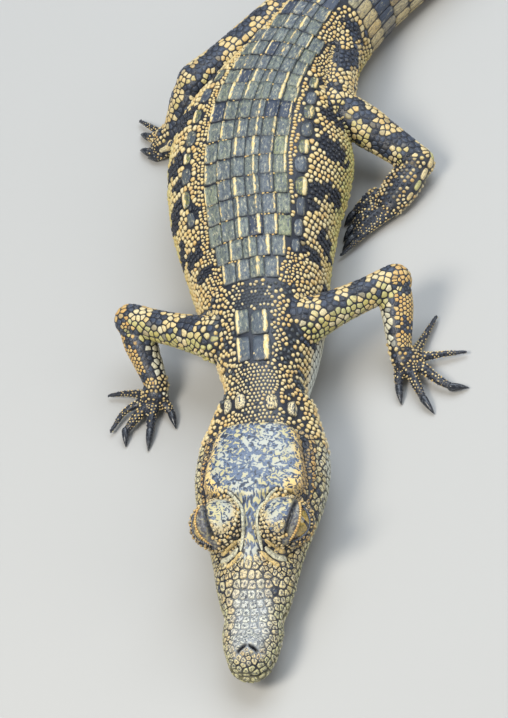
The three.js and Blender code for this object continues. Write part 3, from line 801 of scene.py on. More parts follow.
def isFree(points, room):
    if not takenAt:
        return np.full(len(points), True)
    tree = treeOf(np.vstack(takenAt))
    room = np.broadcast_to(room, len(points))
    return np.array([tree.find(p)[2] > r for p, r in zip(points, room)])


def roundedGrid(along, across, power):
    # a grid over a plate with its corners drawn in, and 1 for the places on its edge
    x, y = (grid.ravel() for grid in np.meshgrid(along, across, indexing="ij"))
    most = np.maximum(np.abs(x), np.abs(y))
    shrink = most / np.maximum((np.abs(x) ** power + np.abs(y) ** power) ** (1 / power), 1e-6)
    return x * shrink, y * shrink, most


def plantBed(name, piece, look, points, room, half=None, **more):
    # scales at the points that nothing has taken yet; half gives plates of set half length and width
    at, up = ontoSkin(points)
    if half is None:
        free = isFree(at, room)
        at, up = at[free], up[free]
    where = Places(at)
    ahead = alongSurface(where.ahead(), up)
    bed = {"name": name, "piece": piece, "look": look, "at": at, "up": up, "ahead": ahead,
           "where": where, "uv": where.unwrap(), "half": half, **more}
    if half is None:
        takenAt.append(at)
    else:
        half = bed["half"] = np.array(half, float)
        x, y, most = roundedGrid(np.linspace(-1, 1, 9), np.linspace(-1, 1, 5), more.get("square", 5))
        cover = (at + ahead * (x[:, None, None] * half[:, :1])
                 + np.cross(ahead, up) * (y[:, None, None] * half[:, 1:]))
        takenAt.append(cover.reshape(-1, 3))
        bed["outline"] = cover[most == 1].reshape(-1, 3)
    beds.append(bed)


def quincunx(sFrom, sTo, sPitch, arcFrom, arcTo, arcPitch, jitter, staggered):
    # rows of places on the body, every other one half a step round where they are staggered
    places = []
    for row, s in enumerate(np.arange(sFrom, sTo, sPitch)):
        start = arcFrom + (arcPitch / 2 if staggered and row % 2 else 0)
        for arc in np.arange(start, arcTo, arcPitch):
            places.append((s, arc))
    places = np.array(places)
    return places + dice.uniform(-jitter, jitter, places.shape)


def onBody(places):
    return bodyPoint(places[:, 0], angleAt(places[:, 0], places[:, 1]))


# the shield of the back: rows of plates with a keel near each plate's outer edge
shieldSettings = {
    "firstRow": 51.3, "rowPitch": 6.75, "plainRows": 10, "rearPitch": 5.5, "rearWidth": 0.94,
    "rearRows": [117.3, 122.8, 128.2, 133.6, 139, 144.5, 150],
    "plateWidth": 3.7, "counts": [4, 5] + [6] * 12 + [4] * 3, "rowGap": 0.16, "plateGap": 0.02,
}
rowCentres = [
    shieldSettings["firstRow"] + shieldSettings["rowPitch"] * k for k in range(shieldSettings["plainRows"])]
rowCentres += shieldSettings["rearRows"]
places, halves, keels = [], [], []
for row, s in enumerate(rowCentres):
    count, plain = shieldSettings["counts"][row], row < shieldSettings["plainRows"]
    pitch = shieldSettings["rowPitch"] if plain else shieldSettings["rearPitch"]
    width = shieldSettings["plateWidth"] * (1 if plain else shieldSettings["rearWidth"])
    drift = dice.uniform(-0.25, 0.25)
    for k in range(count):
        arc = (k - (count - 1) / 2) * width + drift
        places.append((s + dice.uniform(-0.12, 0.12), arc))
        halves.append((pitch / 2 - shieldSettings["rowGap"] / 2, width / 2 - shieldSettings["plateGap"]))
        keels.append(np.clip(arc / 5.0, -1, 1) * 0.72 + dice.uniform(-0.12, 0.12))
plantBed("shield", "backScales", "plate", onBody(np.array(places)), 0, half=halves, keel=keels,
         rise=0.5, ridge=0.5, square=9)

# a broken line of big ovals beside the shield: distance behind the skull, round from the midline,
# half length, half width and how green they are
sideOvals = [
    (59.4, 12.2, 2.2, 1.3, 0.0), (65.2, 13.2, 2.7, 1.3, 0.0), (71.9, 14.2, 3.0, 1.4, 0.0),
    (78.4, 14.7, 3.0, 1.9, 1.0), (86.0, 14.5, 2.6, 1.9, 0.0), (92.6, 15.1, 2.4, 1.6, 0.8),
    (99.2, 15.2, 2.6, 1.7, 0.1), (106.4, 15.0, 2.6, 1.6, 0.5), (113.0, 14.4, 2.5, 1.5, 0.0),
    (120.2, 13.4, 2.2, 1.4, 0.7), (74.6, -16.6, 2.2, 1.3, 0.1), (81.4, -17.6, 2.7, 1.5, 0.9),
    (88.1, -17.5, 2.6, 1.7, 0.1), (93.4, -17.4, 1.7, 1.3, 1.0), (99.4, -16.8, 2.6, 1.6, 0.2),
    (106.2, -16.2, 2.4, 1.5, 0.9), (112.6, -15.4, 2.6, 1.6, 0.0), (119.4, -14.4, 2.3, 1.4, 0.6)]
places = np.array([oval[:2] for oval in sideOvals])
plantBed("sideOvals", "backScales", "plate", onBody(places), 0, half=[oval[2:4] for oval in sideOvals],
         keel=np.sign(places[:, 1]) * 0.35, rise=0.45, ridge=0.35, square=2.6, ridgeWide=2.1,
         green=[oval[4] for oval in sideOvals])

# columns of granules on both sides of the shield
shieldGranules = {
    "arcs": [11.9, 13.15], "from": 47.5, "to": 150.0, "pitch": 1.28, "room": 0.6, "full": 11.1,
    "half": ([47, 53, 60, 112, 118, 150], [7.6, 9.6, 11.1, 11.1, 7.4, 7.2]),  # behind the skull, half width
}
for side in (1, -1):
    for column, arc in enumerate(shieldGranules["arcs"]):
        start = shieldGranules["from"] + 0.5 * column
        along = np.arange(start, shieldGranules["to"], shieldGranules["pitch"])
        narrow = np.interp(along, *shieldGranules["half"]) - shieldGranules["full"]
        spots = np.column_stack([along + dice.uniform(-0.3, 0.3, len(along)),
                                 side * (arc + narrow + dice.uniform(-0.26, 0.26, len(along)))])
        plantBed("besideShield", "backScales", "bead", onBody(spots), shieldGranules["room"])

# four big plates on the nape and four behind the skull
napePlates = {
    "nape": [(-2.9, -48.6), (1.6, -49.7), (-2.8, -57.0), (1.8, -57.6)],
    "napeHalf": [(3.7, 1.95), (3.7, 2.4), (3.8, 2.0), (3.8, 2.5)],
    "skull": [(-7.7, -71.0), (-4.1, -72.2), (3.7, -73.8), (8.0, -74.3)], "skullHalf": [(2.2, 1.6)] * 4,
}
for name, square in (("nape", 6), ("skull", 2.6)):
    hits = [skinTree.ray_cast(Vector((x, y, 30)), Vector((0, 0, -1)))[0] for x, y in napePlates[name]]
    plantBed(name + "Plates", "neckScales", "plate", np.array(hits), 0,
             half=napePlates[name + "Half"], keel=[-0.55, 0.55, -0.5, 0.5] if name == "nape" else [0] * 4,
             rise=0.6, ridge=0.5, square=square)

# the tail's whorls: plates from the combs down to the floor, fewer to the tip
tailSettings = {
    "pitch": 6.4, "first": 156.8, "count": 35, "plateWidth": 3.6, "ringGap": 0.25,
    "middleFrom": 160.0, "middleWidth": 2.9,
}


def crestHalf(s):
    # how far each comb stands from the top of the tail
    return np.clip((262 - s) / 100, 0, 1) * 3.6 + 0.5


places, halves = [], []
for k in range(tailSettings["count"]):
    s = tailSettings["first"] + k * tailSettings["pitch"]
    reach = girth[girthRow(s)][-1]
    top = crestHalf(s)
    count = max(2, int(round((reach - top) / tailSettings["plateWidth"])))
    width = (reach - top) / count
    for side in (-1, 1):
        for j in range(count):
            places.append((s, side * (top + (j + 0.5) * width)))
            halves.append((tailSettings["pitch"] / 2 - tailSettings["ringGap"], width / 2 - 0.1))
plantBed("tailPlates", "tailScales", "plate", onBody(np.array(places)), 0, half=halves, keel=0.0, rise=0.32,
         ridge=0.16)

# rows down the flanks, smaller on the neck and bigger on the throat and belly
bodyRows = [
    # name, piece, look, rows behind the skull, rows round from the midline, jitter, staggered, room
    ("neckTop", "neckScales", "bead", (-9, 46.5, 1.06), (-5.0, 5.1, 1.0), 0.2, True, 0.6),
    ("neckLeft", "neckScales", "oval", (-9, 46.5, 1.5), (14.2, 19.5, 1.4), 0.28, True, 0.8),
    ("neckRight", "neckScales", "oval", (-9, 46.5, 1.5), (-19.5, -14.2, 1.4), 0.28, True, 0.8),
    ("throatLeft", "neckScales", "tile", (-9, 46.5, 2.0), (19, 70, 1.9), 0.34, True, 1.2),
    ("throatRight", "neckScales", "tile", (-9, 46.5, 2.0), (-70, -19, 1.9), 0.34, True, 1.2),
    ("flankLeft", "flankScalesLeft", "oval", (46.5, 154, 1.74), (11.4, 38, 1.44), 0.34, True, 0.95),
    ("flankRight", "flankScalesRight", "oval", (46.5, 154, 1.74), (-38, -11.4, 1.44), 0.34, True, 0.95),
    ("bellyLeft", "bellyScales", "belly", (46.5, 154, 3.4), (38, 80, 2.9), 0.05, False, 1.7),
    ("bellyRight", "bellyScales", "belly", (46.5, 154, 3.4), (-80, -38, 2.9), 0.05, False, 1.7),
]
for name, piece, look, along, around, jitter, staggered, room in bodyRows:
    places = quincunx(*along, *around, jitter, staggered)
    row = girthRow(places[:, 0])
    inside = (places[:, 1] > girth[row, 0]) & (places[:, 1] < girth[row, -1])
    points = onBody(places[inside])
    # not where a leg or the head covers the body
    plantBed(name, piece, look, points[Places(points).kind == 1], room)
print("stage: body rows planted")

# a fringe of long plates on the outer edge of each heel
heelFringe = {
    "along": [-0.34, -0.08, 0.2, 0.48, 0.76], "angle": 0.25,
    "half": [(1.7, 0.95), (1.9, 1.0), (1.9, 0.95), (1.6, 0.85), (1.3, 0.7)],
}
# columns of scales along each length of leg, big in front and inside, small behind
limbLooks = {"upper": "tile", "lower": "tile", "foot": "bead", "digit": "bead"}
limbGrain = {
    # smallest, then what the front, the inner side, the top and the outer side add
    "upperfore": (1.30, 1.5, 0.0, 0.55, 0.0), "lowerfore": (0.98, 0.0, 2.0, 0.0, 0.0),
    "footfore": (1.1, 0.0, 0.5, 0.1, 0.0), "upperhind": (1.55, 0.7, 0.0, 0.4, 0.0),
    "lowerhind": (1.25, 1.2, 0.0, 0.55, 0.0), "foothind": (1.25, 0.0, 0.0, 0.0, 0.3),
    "digit": (0.95, 0, 0, 0, 0),
}
firstColumn = 0.3  # angle of each length's first column


def columnWidth(limb, way):
    part = limb["part"]
    least, front, inner, top, outer = limbGrain[part if part == "digit" else part + limb["kind"]]
    inward = -way[0] * np.sign(limb["line"][:, 0].mean())
    return (least + front * smooth(0.1, 0.9, -way[1]) + inner * smooth(-0.1, 0.55, inward)
            + top * smooth(0.2, 0.9, way[2]) + outer * smooth(0.2, 0.9, -inward))


def limbSpot(limb, t, angle):
    # a place on a length of limb and the direction outwards there
    line, share = limb["line"], np.clip(t, 0, 1)
    forward, side, up = limbFrame(line)
    k = min(int(round(share * (len(line) - 1))), len(line) - 1)
    here = np.array([np.interp(share, np.linspace(0, 1, len(line)), line[:, c]) for c in range(3)])
    here = here + forward[k] * (t - share) * np.linalg.norm(line[-1] - line[0])
    radius = np.interp(share, np.linspace(0, 1, len(limb["radii"])), limb["radii"])
    level, upright = side[k] * math.cos(angle), up[k] * math.sin(angle)
    return here + (level * limb["wide"] + upright * limb["tall"]) * radius, level + upright


for limb in limbParts:
    if limb["kind"] == "hind" and limb["part"] == "foot":
        outer = np.sign(limb["line"][0][0])
        leftwards = limbSpot(limb, 0.5, 0)[1][0] * outer > 0
        angle = heelFringe["angle"] if leftwards else math.pi - heelFringe["angle"]
        spots = np.array([limbSpot(limb, t, angle)[0] for t in heelFringe["along"]])
        plantBed("heelFringe", limb["coat"], "plate", spots, 0,
                 half=heelFringe["half"], keel=0.0, rise=0.4, ridge=0.15, square=2.6)

for i, limb in enumerate(limbParts):
    part = limb["part"]
    length = np.linalg.norm(limb["line"][-1] - limb["line"][0])
    radius = float(np.mean(limb["radii"]))
    angle, columns = firstColumn, []
    while angle < firstColumn + 2 * math.pi:
        wide = float(columnWidth(limb, limbSpot(limb, 0.5, angle)[1]))
        columns.append((angle, wide))
        angle += wide / radius
    squeeze = 2 * math.pi / (angle - firstColumn)
    points, room = [], []
    for j, (angle, wide) in enumerate(columns):
        angle = firstColumn + (angle - firstColumn) * squeeze
        pitch = wide * (1.12 if part in ("upper", "lower") else 1.0)
        start = pitch * (0.5 * (j % 2) + dice.uniform(-0.12, 0.12))
        for along in np.arange(start, length, pitch):
            nudge = dice.uniform(-0.16, 0.16, 2) * (1 if part != "digit" else 0.4)
            t, round_ = (along + nudge[0] * pitch) / length, angle + nudge[1] * wide / radius
            points.append(limbSpot(limb, t, round_)[0])
            room.append(wide * 0.5)
    points, room = np.array(points), np.array(room)
    onThis = Places(points).limb == i
    if onThis.any():
        plantBed(limb["leg"], limb["coat"], limbLooks[part], points[onThis], room[onThis])
print("stage: leg rows planted")

# the head's own marks, in head millimetres: out to the left, along from the snout's tip
tableHalf = [(42.0, 7.0), (42.9, 10.0), (44.4, 11.8), (46.8, 12.4), (50.4, 12.3), (53.4, 11.8), (57, 11.1),
             (60.4, 10.3), (62.2, 9.0), (63.0, 5.4), (63.3, 0)]
headBars = {
    # thickness, colour, then the left one's line as out, along and sometimes up; the right one mirrors it
    "betweenEyes": (0.44, paint.bone, [
        (6.4, 43.6), (4.7, 42.5), (3.3, 41.0), (2.3, 38.8), (1.85, 36.5), (1.8, 34.0), (2.15, 31.6),
        (2.6, 29.4)]),
    "barA": (0.62, paint.cream, [
        (3.35, 31.95, 20.0), (4.8, 31.2, 18.8), (6.35, 30.85, 17.05), (7.75, 30.85, 15.45)]),
    "barB": (0.66, paint.bone, [
        (3.0, 30.65, 18.25), (4.65, 29.8, 16.8), (6.2, 29.15, 15.85), (8.15, 29.8, 14.25)]),
    "barC": (0.50, paint.cream, [
        (2.05, 29.35, 18.45), (3.55, 28.55, 17.0), (5.15, 27.9, 15.65), (6.5, 27.45, 14.85)]),
}
palpebral = {"middle": (7.0, 36.7), "half": (3.6, 5.4), "scaly": 32.8}
barLines = {}
for name, (_, _, line) in headBars.items():
    for side in (1, -1):
        curve = throughPoints(np.array(line) * ([side] + [1] * (len(line[0]) - 1)), 24)
        onSkin = onHeadTop(*curve.T) if curve.shape[1] == 2 else ontoSkin(fromHead(curve))
        barLines[name, side] = toHead(onSkin[0])


def inTable(head):
    half = np.interp(head[:, 1], *np.array(tableHalf).T)
    return (np.abs(head[:, 0]) < half) & (head[:, 1] > 42.3) & (head[:, 1] < 63.2) & (head[:, 2] > 21.8)


def plateOfEye(head):
    # 1 at the rim of the plate over the eye
    out = np.abs(head[:, 0])
    return np.hypot((out - palpebral["middle"][0]) / palpebral["half"][0],
                    (head[:, 1] - palpebral["middle"][1]) / palpebral["half"][1])


def betweenEyes(head):
    out, along = np.abs(head[:, 0]), head[:, 1]
    edge = np.interp(along, [27.0, 30, 36, 41, 44], [3.0, 2.2, 1.9, 2.9, 5.8])
    return (out < edge) & (along > 27.0) & (along < 43.6) & (head[:, 2] > 16)


def lidStrip(head):
    # the smooth strip between the fold over the eye and the lid's margin
    strip = np.zeros(len(head), bool)
    for side in (1, -1):
        turned, raised, far = eyeAngles(head, side)
        _, low = lidMargins(turned, side)
        strip |= (far < 8) & (raised < 15) & (raised > low - 7) & (np.abs(turned) < eyeLids["spread"] + 2)
    flat = np.column_stack([np.abs(head[:, 0]), head[:, 1]])
    return strip | (lineGap(flat, carvings["lidFold"][2]) < 0.8) & (head[:, 2] > 19)


def nearBars(head, reach=0.25):
    near = np.zeros(len(head), bool)
    for side in (1, -1):
        for name, (thick, _, _) in headBars.items():
            near |= lineGap(head, barLines[name, side]) < thick * 1.15 + reach
    return near


def bareHead(head):
    # the table, the plates over the eyes, the eyes and the nostrils grow no scales
    flat = np.column_stack([np.abs(head[:, 0]), head[:, 1]])
    nostrils = (lineGap(flat, nostril["lines"]) < 0.7) & (head[:, 2] > 12)
    groove = (lineGap(flat, carvings["tableFold"][2]) < 0.5) & (head[:, 2] > 20)
    lips = (np.abs(head[:, 2] - mouthHeight(head[:, 1])) < 0.5) & (head[:, 1] < 56)
    smoothPlate = (plateOfEye(head) < 1) & (head[:, 2] > 19) & (head[:, 1] > palpebral["scaly"])
    return (inTable(head) | smoothPlate | lidStrip(head) | nostrils | groove | lips
            | betweenEyes(head) | nearBars(head))


def nearOrbit(head):
    out = np.abs(head[:, 0])
    return (((out - 8.6) / 6.4) ** 2 + ((head[:, 1] - 36) / 8.2) ** 2 < 1) & (head[:, 2] > 14)


spacings = {
    # distance along the head or round the body, and the room of one scale there
    "head": ([0, 8, 16, 28, 40, 60], [1.15, 1.25, 1.4, 1.55, 1.7, 1.6]),
    "neck": ([4, 8, 11, 14, 20, 26], [1.0, 1.2, 1.5, 1.6, 1.8, 2.2]),
    "trunk": ([12, 15, 40], [0.95, 1.35, 2.6]), "tail": 1.5, "tailFrom": 150,
    "upper": 1.6, "lower": 1.5, "foot": 1.1, "digit": 0.9,
}


def spacingAt(where):
    head = where.head
    along, high = head[:, 1], head[:, 2]
    onHead = np.interp(along, *spacings["head"])
    jaw = high < np.interp(along, *np.array(headSizes["mouth"]).T) + 3.2
    onHead = np.where(jaw, onHead * 1.35, onHead)
    onHead = np.where(~jaw & (along > 8) & (along < 27.5) & (high > 11.5), 2.1, onHead)
    onHead = np.where(nearOrbit(head) | (along > 42) & (high > 19), 1.0, onHead)
    onHead = np.where((along > 24) & (along < 34) & nearBars(head, 1.8), 1.05, onHead)
    neck, trunk = (np.interp(np.abs(where.arc), *spacings[name]) for name in ("neck", "trunk"))
    onTrunk = np.where(where.s < borders["neckRear"], neck, trunk)
    onTrunk = np.where(where.s > spacings["tailFrom"], spacings["tail"], onTrunk)
    onLimb = np.array([spacings[limbParts[i]["part"]] for i in where.limb])
    return np.where(where.kind == 0, onHead, np.where(where.kind == 1, onTrunk, onLimb))


# rows across the snout that sweep back at the sides, rows along the lips, and big pale plates on the cheeks
snoutRows = {
    "along": [7.2, 9.0, 10.9, 12.9, 15.0, 17.2, 19.5, 21.8, 24.1, 26.3], "sweep": 0.055, "width": 1.9,
    "half": ([4, 12, 20, 30], [4.6, 6.2, 7.0, 8.4]),  # along the snout, half width there
}
lipRows = {"from": 1.0, "to": 57.0, "pitch": 1.9, "above": 1.25, "below": -1.3}
cheekPlates = {"along": [62.6, 59.6, 56.4, 53.2, 50.2, 47.4, 44.9, 42.4, 39.8, 37.2, 34.6, 32.2],
               "high": [17.0, 17.5, 17.8, 17.8, 17.4, 16.2, 14.8, 13.6, 12.9, 12.4, 12.0, 11.8]}
templeRow = {
    "line": [(11.6, 43.4), (13.1, 46.2), (13.7, 49.0), (13.8, 52.0), (13.5, 55.5), (12.9, 59), (12.4, 62)],
    "pitch": 1.5,
}
points = []
for row, along in enumerate(snoutRows["along"]):
    half = np.interp(along, *snoutRows["half"])
    count = int(2 * half / snoutRows["width"])
    for j in range(count):
        out = (j - (count - 1) / 2) * snoutRows["width"] + dice.uniform(-0.3, 0.3)
        swept = along + snoutRows["sweep"] * out ** 2
        points.append((out + 0.3 * (row % 2), swept + dice.uniform(-0.2, 0.2)))
at, _ = onHeadTop(*np.array(points).T)
plantBed("snout", "headScales", "tile", at[~bareHead(toHead(at))], 0.7)
for side in (1, -1):
    line = throughPoints([(x * side, y, 0) for x, y in templeRow["line"]], 60)
    length = lengthTo(line)
    marks = np.arange(0.4, length[-1], templeRow["pitch"])
    at, _ = onHeadTop(np.interp(marks, length, line[:, 0]), np.interp(marks, length, line[:, 1]))
    plantBed("temple", "headScales", "tile", at, 0.5)
    along = np.arange(lipRows["from"], lipRows["to"], lipRows["pitch"])
    for rise in (lipRows["above"], lipRows["below"]):
        nudge = dice.uniform(-0.15, 0.15, len(along)) + (0.5 * lipRows["pitch"] if rise < 0 else 0)
        at, _ = onHeadSide(side, along + nudge, mouthHeight(along + nudge) + rise)
        plantBed("lips", "headScales", "tile", at, 0.6)
    at, _ = onHeadSide(side, cheekPlates["along"], cheekPlates["high"])
    plantBed("cheeks", "headScales", "tile", at, 0.6)


def fillSkin(count):
    # even but irregular scales wherever no row has planted one
    verts = vertsOf(skin)
    skin.data.calc_loop_triangles()
    tri = np.empty(len(skin.data.loop_triangles) * 3, np.int32)
    skin.data.loop_triangles.foreach_get("vertices", tri)
    a, b, c = (verts[k] for k in tri.reshape(-1, 3).T)
    area = np.linalg.norm(np.cross(b - a, c - a), axis=1)
    headShare = (toHead((a + b + c) / 3)[:, 1] < 64) * 1.2 + 1
    pick = dice.choice(len(area), count, p=area * headShare / (area * headShare).sum())
    u, v = dice.uniform(size=(2, count))
    flip = u + v > 1
    u, v = np.where(flip, 1 - u, u), np.where(flip, 1 - v, v)
    points = a[pick] + (b - a)[pick] * u[:, None] + (c - a)[pick] * v[:, None]
    where = Places(points)
    room = spacingAt(where)
    ok = ~((where.kind == 0) & bareHead(where.head))
    betweenCombs = (where.s > tailSettings["middleFrom"]) & (np.abs(where.arc) < crestHalf(where.s))
    ok &= ~((where.kind == 1) & betweenCombs)
    ok &= isFree(points, room * 0.74)
    points, room = points[ok], room[ok]
    chosen, cells, size = [], {}, 1.3
    for k, p in enumerate(points):
        key = (int(p[0] // size), int(p[1] // size), int(p[2] // size))
        reach = int(math.ceil(room[k] / size))
        span = range(-reach, reach + 1)
        near = (j for dx in span for dy in span for dz in span
                for j in cells.get((key[0] + dx, key[1] + dy, key[2] + dz), ()))
        if all((points[j][0] - p[0]) ** 2 + (points[j][1] - p[1]) ** 2 + (points[j][2] - p[2]) ** 2
               > (room[k] * 0.82) ** 2 for j in near):
            cells.setdefault(key, []).append(k)
            chosen.append(k)
    return points[chosen]


def coatAt(kind, s, arc, limb, nearEye):
    # the piece and the look of a scale that fills a gap
    if kind == 0:
        return "headScales", "bead" if nearEye else "tile"
    if kind == 2:
        return limbParts[limb]["coat"], limbLooks[limbParts[limb]["part"]]
    if s < borders["neckRear"]:
        return "neckScales", "bead"
    if s > borders["tailFront"]:
        return "tailScales", "oval"
    if abs(arc) > borders["belly"]:
        return "bellyScales", "belly"
    if abs(arc) < borders["back"]:
        return "backScales", "bead"
    return "flankScales" + ("Left" if arc > 0 else "Right"), "oval"


filled = fillSkin(90000)
where = Places(filled)
orbit = nearOrbit(where.head)
groups = {}
for k in range(len(filled)):
    groups.setdefault(coatAt(where.kind[k], where.s[k], where.arc[k], where.limb[k], orbit[k]), []).append(k)
for (piece, look), members in groups.items():
    plantBed("fill_" + piece, piece, look, filled[members], 0)

# the same whorls between the two combs
places, halves = [], []
for k in range(tailSettings["count"]):
    s = tailSettings["first"] + k * tailSettings["pitch"]
    if s < tailSettings["middleFrom"]:
        continue
    count = int(round(2 * crestHalf(s) / tailSettings["middleWidth"]))
    for j in range(count):
        width = 2 * crestHalf(s) / count
        places.append((s, (j - (count - 1) / 2) * width))
        halves.append((tailSettings["pitch"] / 2 - tailSettings["ringGap"], width / 2 - 0.12))
plantBed("tailMiddle", "tailScales", "plate", onBody(np.array(places)), 0, half=halves, keel=0.0,
         rise=0.3, ridge=0.14)
print("stage: filled with", len(filled), "more scales")


# colours of the scales

def blend(a, b, t):
    # colours mixed by one share for each place
    return mix(a, b, np.clip(t, 0, 1)[:, None])


# on the flanks: distance behind the skull, round from the midline, reach along, reach round
darkPatches = [
    (59.5, 17.5, 2.6, 4.6), (64.4, 12.2, 3.2, 2.8), (67.6, 25.5, 3.4, 4.6), (74, 17.2, 2.0, 3.0),
    (82.5, 27, 2.9, 6.0), (80, 20.5, 2.6, 2.8), (96.8, 24.5, 3.8, 6.4), (110.5, 22.5, 3.4, 7.0),
    (123.5, 21, 3.2, 6.4), (137, 19, 3.2, 7.0), (148, 16, 2.8, 7.0), (52.5, 27, 2.6, 4.4),
    (56, -14.8, 2.6, 3.4), (63.5, -18.5, 2.6, 4.6), (70, -25.5, 3.0, 5.0), (80.5, -24.0, 3.6, 5.4),
    (75.5, -15.2, 2.4, 2.2), (94.5, -24.5, 3.2, 6.2), (108, -23, 3.4, 6.6), (121, -21, 3.2, 6.4),
    (134.5, -19, 3.2, 6.4), (147, -17, 3.0, 7.0), (88, -21, 1.8, 3.0), (102, 18, 1.8, 2.6)]


def flankBlotch(s, arc, points, luck):
    # dark patches down the sides with ragged edges
    best = np.full(len(s), -9.0)
    for middle, round_, reach, deep in darkPatches:
        best = np.maximum(best, 1 - ((s - middle) / reach) ** 2 - ((arc - round_) / deep) ** 2)
    ragged = best + 0.6 * fuzz(points, 0.28, 3) + 0.7 * fuzz(points, 0.6, 4) + 0.8 * (luck - 0.55)
    return smooth(-0.04, 0.04, ragged)


def tailBands(s):
    # 1 in the middle of each dark band of the tail, -1 between two bands
    return np.cos((s - 165) / 25.6 * 2 * math.pi)


def paintBed(bed):
    where, n = bed["where"], len(bed["at"])
    points, luck, luck2 = bed["at"], *dice.uniform(size=(2, n))
    mottle, keelCream, spot = np.full(n, 0.25), np.zeros(n), np.zeros(n)
    body, head, limb = where.kind == 1, where.kind == 0, where.kind == 2
    tint = blend(paint.cream, paint.pale, luck * 0.6)
    tint = blend(tint, paint.orange, smooth(0.55, 1.0, luck2) * 0.6)
    name = bed["name"]
    if name == "shield":
        outer = smooth(5, 10.5, np.abs(where.arc))
        tint = blend(paint.stone, paint.ash, luck) * (0.85 + 0.3 * luck2)[:, None]
        tint = blend(tint, paint.green, (outer * luck2) * 0.3)
        dark = fuzz(points, 0.23, 8) + 0.3 * (luck2 - 0.5) > 0.27
        tint[dark] = paint.slate * 0.4
        mottle[:] = 1.0
        keelCream = np.where(dice.uniform(size=n) < 0.22, 0.0, 0.5 + 0.5 * luck2)
    elif name == "sideOvals":
        green = np.asarray(bed["green"], float)
        tint = blend(paint.ash * 0.4, paint.ash * 0.9, luck)
        tint = blend(tint, paint.green * 0.5, green * 0.75)
        mottle[:] = 1.3
        keelCream = 0.1 + 0.9 * green
    elif name == "napePlates":
        tint = blend(paint.slate * 0.55, paint.stone, 0.2 + luck * 0.8)
        mottle[:], keelCream[:] = 0.9, 1.0
    elif name == "skullPlates":
        tint = blend(paint.pale, paint.cream, luck * 0.5)
        mottle[:] = 1.6
    elif bed["piece"] == "tailScales":
        bar = tailBands(where.s) + 0.6 * fuzz(points, 0.2, 5)
        low = smooth(8, 22, np.abs(where.arc) + 4 * fuzz(points, 0.3, 6))
        tint = blend(paint.stone, tint * 0.82, 0.1 + low * 0.7 + 0.35 * smooth(190, 157, where.s))
        tint = blend(tint, paint.slate * 0.5, smooth(0.1, 0.5, bar - low * 0.35))
        mottle[:] = 0.8
        keelCream = 0.3 * luck
    else:
        # flanks and belly
        blotch = flankBlotch(where.s, where.arc, points, luck2)
        side = smooth(22, 34, np.abs(where.arc))
        flank = blend(tint, paint.green * 1.05, side * (0.35 + 0.4 * luck) * smooth(44, 60, where.s))
        flank = blend(flank, paint.pale, smooth(36, 48, np.abs(where.arc)))
        flank = blend(flank, paint.black, blotch * (where.s > borders["neckRear"]))
        # neck: darker on the nape, pale on the throat, big dark saddle in front of the shoulders
        far = np.abs(where.arc)
        dusk = smooth(6.5, 2.0, far) * (0.12 + 0.62 * smooth(26, 36, where.s))
        clouds = 0.9 * smooth(0.16, 0.26, fuzz(points, 0.27, 7))
        dusk = dusk + clouds * smooth(4, 8, far) * smooth(19, 14, far) * smooth(4, 12, where.s)
        neck = blend(tint, paint.pale * 0.9, 0.5 * smooth(9, 4, far))
        neck = blend(neck, paint.ash * 0.5, luck < dusk)
        neck = blend(neck, paint.pale, smooth(19, 27, far))
        neck = blend(neck, paint.white, smooth(17, 24, far) * smooth(46, 34, where.s))
        tint[body] = np.where((where.s < borders["neckRear"])[:, None], neck, flank)[body]
        mottle[body] = 0.2
    if name == "heelFringe":
        tint = blend(blend(paint.pale, paint.cream, luck), paint.green, (luck2 > 0.6) * 0.6)
        tint[luck2 < 0.22] = paint.slate * 0.4
        mottle[:], keelCream[:] = 0.5, 0.3
    elif limb.any():
        tint[limb], mottle[limb] = paintLimb(bed, luck, luck2)[limb], 0.3
    if head.any() and name != "skullPlates":
        tint[head], mottle[head] = paintHead(where.head, points, luck, luck2)[head], 1.1
        spot[head] = ((luck > 0.4) * (where.head[:, 1] < 31) * (where.head[:, 2] > 8))[head]
    if name == "temple":
        tint, mottle[:] = blend(paint.amber, paint.orange, luck), 1.5
    return np.clip(tint, 0.004, 0.9), mottle, keelCream, spot


